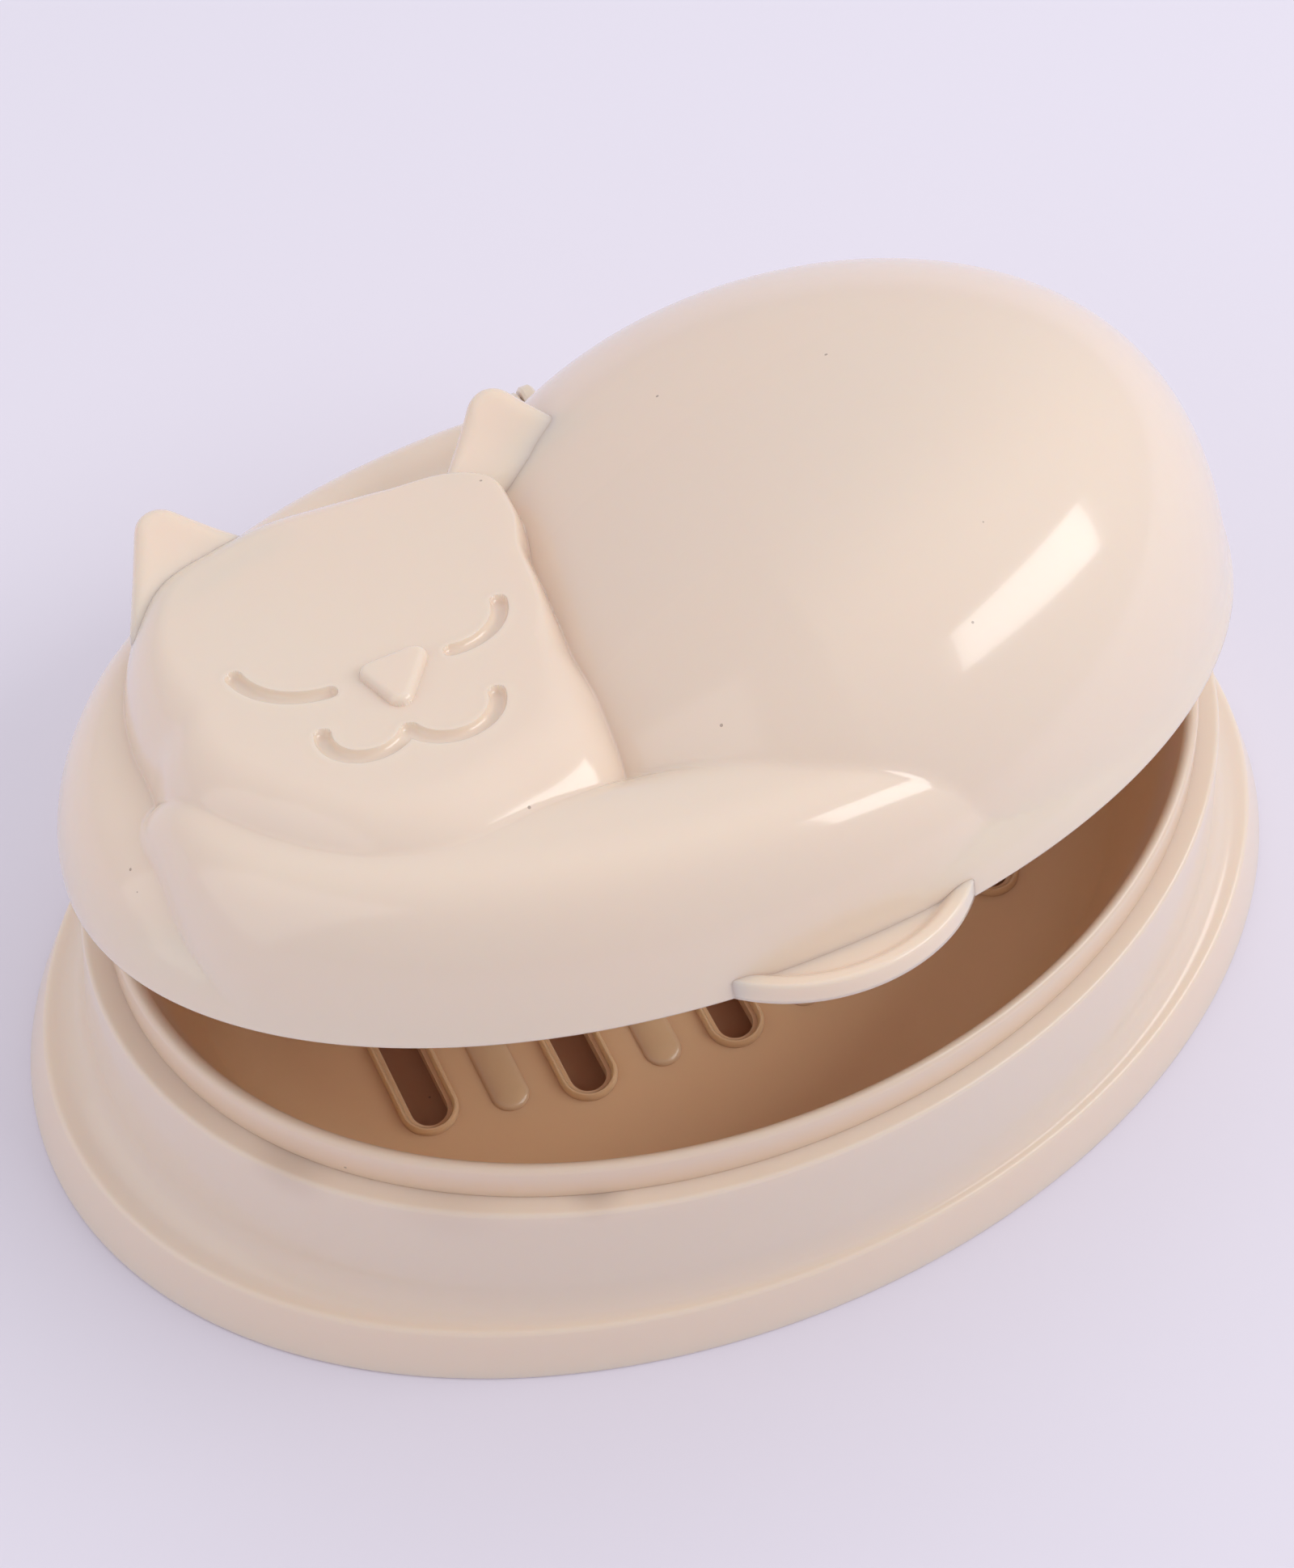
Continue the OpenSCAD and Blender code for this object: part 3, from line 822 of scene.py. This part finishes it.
def headForm(x, y, drop):
    shape = headShape
    dx, dy = x - shape["x"], y - shape["y"]
    angle = direction(dx, dy)
    reach, middle, spread = shape["corner"]
    corner = reach * np.exp(-(((angle - middle) / spread) ** 2))
    inside = (around(shape["reach"], angle) + corner - np.hypot(dx, dy)) * shape["edgeSlope"]
    u = share((inside - shape["hollowInset"] * drop) / around(shape["edge"], angle))
    across, along = shape["crownSize"]
    crown = shape["height"] - drop - shape["crownDrop"] * (dx**2 / across**2 + dy**2 / along**2)
    return crown * (1 - (1 - u) ** shape["edgePower"]) ** (1 / shape["edgePower"])


def armForm(x, y, drop):
    shape = armShape
    angle = direction(x / coverA, y / coverB)
    paw = ease(share((-angle - shape["pawFrom"]) / shape["pawOver"]))
    r = ovalReach(x, y, drop) - shape["ridge"] + shape["pawShift"] * paw
    r = r / (shape["half"] - shape["pawNarrow"] * paw)
    inner = above(-r * shape["innerStretch"]) ** shape["innerPower"]
    bend = np.where(r > 0, above(r) ** shape["outerPower"], inner)
    end = above((-shape["pawEnd"] - angle) / shape["pawOver"])
    end = end + above((angle + shape["shoulder"]) / shape["shoulderOver"])
    high = (shape["height"] - drop) * above(1 - bend - end ** shape["endPower"]) ** 0.5
    return np.where(angle > 0, 0, high)


def tailForm(x, y, drop):
    shape = tailShape
    r = (ovalReach(x, y, drop) - shape["ridge"]) / shape["half"]
    bend = np.where(r > 0, np.abs(r) ** shape["outerPower"], np.abs(r) ** shape["innerPower"])
    high = shape["height"] - drop + shape["rise"] * share(-x / shape["riseOver"])
    end = above((-shape["end"] - y) / shape["endOver"])
    return high * above(1 - bend - end**2) ** shape["power"]


# grooves are [middle x, middle y, radius, first angle, last angle] in the head's turned frame
faceShape = {
    "grooves": [
        (-3.0, 1.6, 8.4, -166, -91),  # left eye
        (9.3, 0.1, 5.8, -92, -2),  # right eye
        (-1.0, -13.0, 4.1, -188, -30),  # left half of the mouth
        (6.9, -13.1, 4.6, -154, -2),  # right half of the mouth
    ],
    "grooveWidth": 1.7,
    "grooveDepth": 0.75,
    "groovePower": 2.6,
    "lip": 0.05,
    "lipAway": 0.3,
    "lipWidth": 0.4,
    "nose": [(1.3, -6.1), (5.5, -5.4), (3.0, -10.4)],
    "noseCorner": 1.3,
    "noseHeight": 0.9,
    "noseEdge": 0.9,
    "nosePower": 2.4,
}


def grooveDistance(px, py):
    # to the middle line of the nearest groove
    near = np.full(px.shape, 9.0)
    for cx, cy, radius, start, end in faceShape["grooves"]:
        middle, half = (start + end) / 2, (end - start) / 2
        angle = direction(px - cx, py - cy) - middle
        angle = np.radians(np.clip(np.mod(angle + 180, 360) - 180, -half, half) + middle)
        away = np.hypot(px - cx - radius * np.cos(angle), py - cy - radius * np.sin(angle))
        near = np.minimum(near, away)
    return near


def noseDistance(px, py):
    # to the nose's triangle, below zero inside it
    corners = faceShape["nose"]
    sides = list(zip(corners, corners[1:] + corners[:1]))
    way = sum(ax * by - bx * ay for (ax, ay), (bx, by) in sides)
    best, inside = np.full(px.shape, 1e9), np.ones(px.shape, bool)
    for (ax, ay), (bx, by) in sides:
        ex, ey = bx - ax, by - ay
        t = share(((px - ax) * ex + (py - ay) * ey) / (ex * ex + ey * ey))
        best = np.minimum(best, np.hypot(px - ax - t * ex, py - ay - t * ey))
        inside &= (ex * (py - ay) - ey * (px - ax)) * way > 0
    return np.where(inside, -best, best)


def faceRelief(x, y):
    px, py = turned(x - headShape["x"], y - headShape["y"], -headShape["turn"])
    shape = faceShape
    half, near = shape["grooveWidth"] / 2, grooveDistance(px, py)
    cut = shape["grooveDepth"] * above(1 - (near / half) ** shape["groovePower"]) ** 0.6
    lip = shape["lip"] * np.exp(-(((near - half - shape["lipAway"]) / shape["lipWidth"]) ** 2))
    nose = share((shape["noseCorner"] - noseDistance(px, py)) / shape["noseEdge"])
    raised = shape["noseHeight"] * (1 - (1 - nose) ** shape["nosePower"]) ** 0.5
    return raised - cut + lip


# each form and how softly it runs into those before it
coverForms = [(tailForm, 1.0), (armForm, 1.0), (bodyForm, 0.9), (headForm, 0.45)]


def coverTop(x, y, drop):
    # drop is 0 for the outside and the wall's thickness for the hollow
    high = skirtForm(x, y, drop)
    for form, soft in coverForms:
        high = softMax(high, form(x, y, drop), soft)
    return high if drop else high + faceRelief(x, y)


def coverRing(ring, angles, drop):
    # 2 is the cover's edge, 1 the head's outline, 0 the head's middle
    wall = coverSize["skirtWall"] if drop else 0
    ex = (coverA - wall) * np.cos(angles) - headShape["x"]
    ey = (coverB - wall) * np.sin(angles) - headShape["y"]
    far = np.hypot(ex, ey)
    near = around(headShape["reach"], direction(ex, ey)) - headShape["hollowInset"] * drop
    reach = near + (far - near) * (ring - 1) if ring > 1 else near * ring
    return headShape["x"] + ex * reach / far, headShape["y"] + ey * reach / far


def ringSteps(count, power, stops):
    # close rings behind the edge, then even ones up to each stop of [ring, how many]
    here = 2 - coverSize["edgeBand"]
    steps = [2 - coverSize["edgeBand"] * np.linspace(0, 1, count)[1:] ** power]
    for ring, many in stops:
        steps.append(np.linspace(here, ring, many)[1:])
        here = ring
    return np.concatenate(steps)


def roundedOutline(corners, radii, count):
    # even points round a polygon whose corners are circles, anticlockwise
    n, ends, points = len(corners), [], []
    for i in range(n):
        along = Vector(corners[(i + 1) % n]) - Vector(corners[i])
        # outward normal of the line that touches both circles
        lean = math.asin((radii[i] - radii[(i + 1) % n]) / along.length)
        ends.append(math.atan2(along.y, along.x) - math.pi / 2 + lean)
    for i in range(n):
        start, end = ends[i - 1], ends[i]
        while end < start:
            end += 2 * math.pi
        for k in range(13):
            t = start + (end - start) * k / 12
            points.append(Vector(corners[i]) + radii[i] * Vector((math.cos(t), math.sin(t))))
    length, closed = [0.0], points + points[:1]
    for p, q in zip(closed, closed[1:]):
        length.append(length[-1] + (q - p).length)
    result, k = [], 0
    for i in range(count):
        want = length[-1] * i / count
        while length[k + 1] < want:
            k += 1
        t = (want - length[k]) / max(length[k + 1] - length[k], 1e-9)
        result.append(closed[k] * (1 - t) + closed[k + 1] * t)
    return np.array([tuple(p) for p in result])


# where the face's points lie
facePoints = {
    # beside a groove's middle line, as shares of its half width
    "grooveRows": [0, 0.3, 0.5, 0.64, 0.74, 0.82, 0.88, 0.94, 1.0, 1.1, 1.22, 1.38, 1.6, 1.95, 2.5],
    "grooveStep": 0.2,
    # round the nose's triangle and, below zero, inside it
    "noseRows": [-1.3, -0.8, -0.3, 0.1, 0.4, 0.6, 0.75, 0.88, 1.0, 1.12, 1.22, 1.3, 1.38, 1.55, 1.9],
    # even ones over the rest
    "gap": 0.62,
    "rowGap": 0.87,
    "reach": 32,
    # kept clear of the last ring
    "clear": 0.45,
}


def groovePoints(half):
    points = []
    for cx, cy, radius, start, end in faceShape["grooves"]:
        n = max(3, int(math.radians(end - start) * radius / facePoints["grooveStep"]))
        tips = [(arc(cx, cy, radius, angle, angle, 1)[0], angle, way) for angle, way in ((start, -180), (end, 180))]
        for row in facePoints["grooveRows"]:
            away = row * half
            for side in (-1, 1) if row else (1,):
                points += [(*p, away) for p in arc(cx, cy, radius + side * away, start, end, n)]
            if row:
                for tip, angle, way in tips:
                    ring = arc(*tip, away, angle, angle + way, max(4, int(away * 14)))
                    points += [(*p, away) for p in ring[1:-1]]
    px, py, away = np.array(points).T
    # a point that another groove is nearer to is left out
    keep = grooveDistance(px, py) > away - 0.02
    return list(zip(px[keep], py[keep]))


def nosePoints():
    corners = faceShape["nose"][::-1]
    middle, points = np.mean(corners, 0), []
    for grow in facePoints["noseRows"]:
        if grow > 0:
            points += roundedOutline(corners, [grow] * 3, 90).tolist()
        else:
            inner = roundedOutline(corners, [0.1] * 3, 50) - middle
            points += (middle + inner * (1 + grow * 0.6)).tolist()
    return points


def evenPoints(half):
    gap, rowGap, reach = (facePoints[k] for k in ("gap", "rowGap", "reach"))
    gx, gy = np.meshgrid(np.arange(-reach, reach, gap), np.arange(-reach, reach, gap * rowGap))
    gx[1::2] += gap / 2
    gx, gy = gx.ravel(), gy.ravel()
    clear = np.minimum(grooveDistance(gx, gy), noseDistance(gx, gy) + 0.25)
    wide = clear > half * 2.5 + 0.3
    return list(zip(gx[wide], gy[wide]))


def makeFace(rim, ring):
    # triangles between the last ring and the points inside it
    half = faceShape["grooveWidth"] / 2
    fx, fy = np.array(groovePoints(half) + nosePoints() + evenPoints(half)).T
    ex, ey = turned(fx, fy, headShape["turn"])
    limit = around(headShape["reach"], direction(ex, ey)) * ring - facePoints["clear"]
    inside = np.hypot(ex, ey) < limit
    spots = list(zip(headShape["x"] + ex[inside], headShape["y"] + ey[inside]))
    spots = [Vector(p) for p in rim[:, :2].tolist() + spots]
    n = len(rim)
    edges = [(i, (i + 1) % n) for i in range(n)]
    flat, _, faces, *_ = delaunay_2d_cdt(spots, edges, [], 1, 1e-6)
    flat = np.array([tuple(p) for p in flat])
    heights = coverTop(flat[:, 0], flat[:, 1], 0)
    return np.column_stack([flat, heights]), faces


def makeCoverShell(size):
    steps, soft, wall = size["stepsRound"], size["edgeRound"], size["wall"]
    angles = np.linspace(0, 2 * np.pi, steps, endpoint=False)
    outer = ringSteps(20, 2.0, [(1.06, 46), (0.80, 46)])
    rings = []
    for ring in outer[::-1]:
        x, y = coverRing(ring, angles, 0)
        rings.append((x, y, np.maximum(coverTop(x, y, 0), soft)))
    for inset, z in ((0.0, soft), (soft * 0.29, soft * 0.29), (soft, 0.0)):
        rings.append(((coverA - inset) * np.cos(angles), (coverB - inset) * np.sin(angles), np.full(steps, z)))
    rings.append((*coverRing(2, angles, wall), np.zeros(steps)))
    rings = [np.stack(ring, 1) for ring in rings]
    vertices, faces = [tuple(v) for ring in rings for v in ring], []
    for i in range(len(rings) - 1):
        faces += between(i * steps, (i + 1) * steps, steps)
    # the face joins the first ring where their points share a place
    spots, patch = makeFace(rings[0], outer[-1])
    start = len(vertices)
    vertices += [tuple(v) for v in spots]
    faces += [tuple(start + i for i in f) for f in patch]
    # hollow inside: half the steps, meeting every second point of the edge
    last, half = (len(rings) - 1) * steps, steps // 2
    row = None
    for ring in ringSteps(10, 1.6, [(1.0, 18), (0.05, 10)]):
        x, y = coverRing(ring, angles[::2], wall)
        previous, row = row, len(vertices)
        vertices += list(zip(x, y, coverTop(x, y, wall)))
        if previous is not None:
            faces += between(previous, row, half)
            continue
        for j in range(half):
            a, m, b, n = last + 2 * j, last + 2 * j + 1, last + (2 * j + 2) % steps, (j + 1) % half
            faces += [(a, m, row + j), (m, row + n, row + j), (m, b, row + n)]
    vertices.append(tuple(np.mean(vertices[row : row + half], 0)))
    faces += [(row + j, row + (j + 1) % half, len(vertices) - 1) for j in range(half)]
    return fixNormals(addObject("cover shell", vertices, faces, coverPlastic))


def makePad(outline, top, low, soft, spread, rings):
    # closed pad: a top over an outline, a rounded edge, and a wall that spreads on its way down
    middle, count = outline.mean(0), len(outline)
    reach = np.hypot(*(outline - middle).T)

    def drawnIn(inset):
        return middle + (outline - middle) * ((reach - inset) / reach)[:, None]

    levels = [(drawnIn(-spread), np.full(count, low))]
    for part in (0.25, 0.5, 0.75):
        spot = drawnIn(-spread * (1 - part) ** 2)
        levels.append((spot, low + (top(*spot.T) - soft - low) * part))
    for i in range(7):
        t = math.pi / 2 * i / 6
        spot = drawnIn(soft * (1 - math.cos(t)))
        levels.append((spot, top(*spot.T) - soft * (1 - math.sin(t))))
    rim = spot - middle
    for i in range(1, rings):
        spot = middle + rim * (1 - i / rings)
        levels.append((spot, top(*spot.T)))
    levels = [np.column_stack(level) for level in levels]
    tip, foot = [[*middle, top(*middle)]], [[*middle, low]]
    vertices, faces = np.concatenate(levels + [tip, foot]), []
    for i in range(len(levels) - 1):
        faces += between(i * count, (i + 1) * count, count)
    end = len(levels) * count
    last = end - count
    faces += [(last + j, last + (j + 1) % count, end) for j in range(count)]
    faces += [((j + 1) % count, j, end + 1) for j in range(count)]
    return vertices, faces


# corners are left, right and tip, in the ear's own turned frame
earShapes = [
    {
        "x": -39.2,
        "y": 19.5,
        "turn": 8,
        "corners": [(-6.6, -2.7), (8.3, -0.9), (0.4, 6.4)],
        "heights": [17.5, 17.5, 21.2],
    },
    {
        "x": -4.8,
        "y": 19.6,
        "turn": -16,
        "corners": [(-5.7, -2.1), (6.2, 1.9), (-0.4, 6.1)],
        "heights": [17.5, 19.0, 21.2],
    },
]
earSize = {
    "cornerRound": 2.0,
    "tipRound": 3.0,
    "cup": 0.6,
    "cupSize": (5.2, 4.4),
    "cupRise": 0.6,
    "soft": 2.2,
    "spread": 0.25,
    "root": 7.0,
}


def makeEar(ear, size):
    radii = [size["cornerRound"]] * 2 + [size["tipRound"]]
    outline = roundedOutline(ear["corners"], radii, 150)
    middle, cupSize = outline.mean(0), size["cupSize"]
    # plane over the three corners
    slope = np.linalg.solve([[*corner, 1] for corner in ear["corners"]], ear["heights"])

    def top(x, y):
        rise = slope[0] * x + slope[1] * y + slope[2]
        away = np.hypot((x - middle[0]) / cupSize[0], (y - middle[1] - size["cupRise"]) / cupSize[1])
        return rise - size["cup"] * np.exp(-(away**2) * 1.3)

    vertices, faces = makePad(outline, top, size["root"], size["soft"], size["spread"], 14)
    x, y = turned(vertices[:, 0], vertices[:, 1], ear["turn"])
    x, y = ear["x"] + x, ear["y"] + y
    # the root ends inside the wall, so that nothing shows in the hollow
    middleOfWall = (coverTop(x, y, 0) + coverTop(x, y, coverSize["wall"])) / 2
    upper = np.ones(len(x))
    upper[: len(outline)] = upper[-1] = 0
    z = np.maximum(vertices[:, 2], middleOfWall + (upper - 0.5) * 0.3)
    return fixNormals(addObject("ear", np.column_stack([x, y, z]), faces, coverPlastic))


tabSize = {
    "length": 24.8,
    "reach": 4.6,
    "thick": 2.4,
    "hollow": 0.75,
    "hollowOver": 1.4,
    "rim": 1.0,
    "low": 0.15,
    "soft": 0.45,
    "root": 0.88,  # share of the skirt's wall
}


def makeTab(size):
    half = size["length"] / 2
    edgeY = coverB * math.sqrt(1 - (half / coverA) ** 2)
    rise = coverB + size["reach"] - edgeY
    radius = (half**2 + rise**2) / (2 * rise)
    middleY = radius - coverB - size["reach"]
    rootY = -coverB + coverSize["skirtWall"] * size["root"]
    limit = math.degrees(math.acos((middleY - rootY) / radius))
    outline = [(px, py + middleY) for px, py in arc(0, 0, radius, -90 - limit, -90 + limit, 110)]
    last = outline[-1][0]
    outline += [(last - 2 * last * i / 50, rootY) for i in range(1, 50)]

    def top(x, y):
        inside = radius - np.hypot(x, y - middleY)
        return size["thick"] - size["hollow"] * ease(share((inside - size["rim"]) / size["hollowOver"]))

    vertices, faces = makePad(np.array(outline), top, size["low"], size["soft"], 0.0, 18)
    return fixNormals(addObject("tab", vertices, faces, coverPlastic))


def makeRod(radius, length, z, soft, steps=64):
    # round bar along X with softened ends, on the hinge's line
    half = length / 2
    end = [(0, half), (radius - soft, half), (radius, half - soft)]
    line = [(r, -x) for r, x in end] + end[::-1]
    vertices, faces = [], []
    turns = [2 * math.pi * j / steps for j in range(steps)]
    for r, x in line:
        vertices += [(hinge["x"] + x, hinge["y"] + r * math.cos(t), z + r * math.sin(t)) for t in turns]
    for i in range(len(line) - 1):
        faces += between(i * steps, (i + 1) * steps, steps)
    return fixNormals(addObject("rod", vertices, faces, coverPlastic))


hingeArm = {"root": 0.92, "low": 0.2, "narrower": 0.1, "round": 0.35}


def makeHingeArm(size, z):
    # block from the skirt to the barrel
    rootY = coverB - coverSize["skirtWall"] * size["root"]
    high = size["low"] + z + hinge["barrel"] * 0.6
    box = bmesh.new()
    bmesh.ops.create_cube(box, size=1)
    for v in box.verts:
        v.co.x = (hinge["x"] + v.co.x * (hinge["barrelLength"] - size["narrower"])) * mm
        v.co.y = (rootY + (hinge["y"] - rootY) * (v.co.y + 0.5)) * mm
        v.co.z = (size["low"] + (high - size["low"]) * (v.co.z + 0.5)) * mm
    bmesh.ops.bevel(box, geom=box.edges[:], offset=size["round"] * mm, segments=3, affect="EDGES", profile=0.5)
    mesh = bpy.data.meshes.new("hinge arm")
    box.to_mesh(mesh)
    box.free()
    return link("hinge arm", mesh)


def shadeFromRule(mesh, step=0.04):
    # normals from the height rule itself, so that reflections run clean over the triangles
    count = len(mesh.vertices)
    place, normal = np.empty(count * 3), np.empty(count * 3)
    mesh.vertices.foreach_get("co", place)
    mesh.vertex_normals.foreach_get("vector", normal)
    place, normal = place.reshape(-1, 3) / mm, normal.reshape(-1, 3)
    x, y, z = place.T
    onTop = (ovalReach(x, y, 0) < 0.985) & (np.abs(coverTop(x, y, 0) - z) < 0.002)
    slopeX = (coverTop(x + step, y, 0) - coverTop(x - step, y, 0)) / (2 * step)
    slopeY = (coverTop(x, y + step, 0) - coverTop(x, y - step, 0)) / (2 * step)
    exact = np.stack([-slopeX, -slopeY, np.ones(count)], 1)
    exact /= np.linalg.norm(exact, axis=1)[:, None]
    normal[onTop] = exact[onTop]
    return normal


def makeCover():
    z = hinge["z"] - rimZ - coverSize["edgeGap"]
    pinLength = hinge["barrelLength"] + 2 * (lugSize["gap"] + lugSize["thick"])
    parts = [
        makeCoverShell(coverSize),
        makeTab(tabSize),
        makeHingeArm(hingeArm, z),
        makeRod(hinge["barrel"], hinge["barrelLength"], z, 0.3),
        makeRod(hinge["pin"], pinLength, z, 0.2),
    ]
    parts += [makeEar(ear, earSize) for ear in earShapes]
    cover = join("coverShell", parts, coverPlastic, 48)
    normals = shadeFromRule(cover.data)
    # open it about the hinge, as it rests
    pin = Vector((0, hinge["y"], hinge["z"])) * mm
    raised = Matrix.Translation((0, 0, (rimZ + coverSize["edgeGap"]) * mm))
    swing = Matrix.Rotation(-math.radians(hinge["open"]), 4, "X")
    opened = Matrix.Translation(pin) @ swing @ Matrix.Translation(-pin)
    cover.data.transform(opened @ raised)
    opening = np.array(opened.to_3x3()).T
    cover.data.normals_split_custom_set_from_vertices((normals @ opening).tolist())
    return cover


coverShell = makeCover()
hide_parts("cover")
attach(coverShell, "lid")
print("cover made:", sum(len(p.vertices) - 2 for p in coverShell.data.polygons), "triangles")

# stage and light, with lamps in metres and watts

stageLook = {
    "floor": (0.76, 0.723, 0.82),
    "floorSize": 4000,  # this one in millimetres
    "grainScale": 6.0,
    "grain": (1.01, 0.985),
    "world": (0.93, 0.94, 1.0),
    "worldStrength": 0.64,
    "aim": (0, 0, 0.03),
}
lamps = [
    {
        "name": "window",
        "place": (0.78, -0.42, 0.74),
        "size": (0.95, 0.42),
        "roll": -34,
        "power": 5.2,
        "colour": (1.0, 0.985, 0.965),
    },
    {
        "name": "high card",
        "place": (0.45, 0.55, 1.25),
        "size": (1.4, 1.4),
        "power": 5.2,
        "colour": (1.0, 0.99, 0.98),
        "mirrored": False,
    },
    {
        "name": "left card",
        "place": (-0.85, 0.05, 0.42),
        "size": (0.9, 0.9),
        "power": 1.7,
        "colour": (1.0, 0.93, 0.92),
    },
]


def makeFloor(look):
    material = bpy.data.materials.new("pale paper")
    material.use_nodes = True
    graph = Graph(material.node_tree)
    place = graph.add("ShaderNodeTexCoord", output="Object")
    grain = graph.noise(place, look["grainScale"], 3.0)
    pale, dull = ([min(1, c * change) for c in look["floor"]] for change in look["grain"])
    shader = material.node_tree.nodes["Principled BSDF"]
    graph.fill(shader, {"Base Color": graph.blend(grain, pale, dull), "Roughness": 0.9})
    size = look["floorSize"]
    corners = [(-size, -size, 0), (size, -size, 0), (size, size, 0), (-size, size, 0)]
    addObject("floor", corners, [(0, 1, 2, 3)], material)


def makeLamp(lamp, target):
    data = bpy.data.lights.new(lamp["name"], "AREA")
    data.shape, data.size, data.size_y = "RECTANGLE", *lamp["size"]
    data.energy, data.color = lamp["power"], lamp["colour"]
    aim = Vector(target) - Vector(lamp["place"])
    roll = Matrix.Rotation(math.radians(lamp.get("roll", 0)), 4, "Z")
    thing = link(lamp["name"], data)
    turn = aim.to_track_quat("-Z", "Y").to_matrix().to_4x4() @ roll
    thing.matrix_world = Matrix.Translation(lamp["place"]) @ turn
    thing.visible_glossy = lamp.get("mirrored", True)


makeFloor(stageLook)
for lamp in lamps:
    makeLamp(lamp, stageLook["aim"])
world = bpy.data.worlds.new("studio air")
world.use_nodes = True
air = world.node_tree.nodes["Background"]
air.inputs["Color"].default_value = (*stageLook["world"], 1)
air.inputs["Strength"].default_value = stageLook["worldStrength"]
bpy.context.scene.world = world
bpy.context.scene.view_settings.view_transform = "Standard"
print("stage and light made")
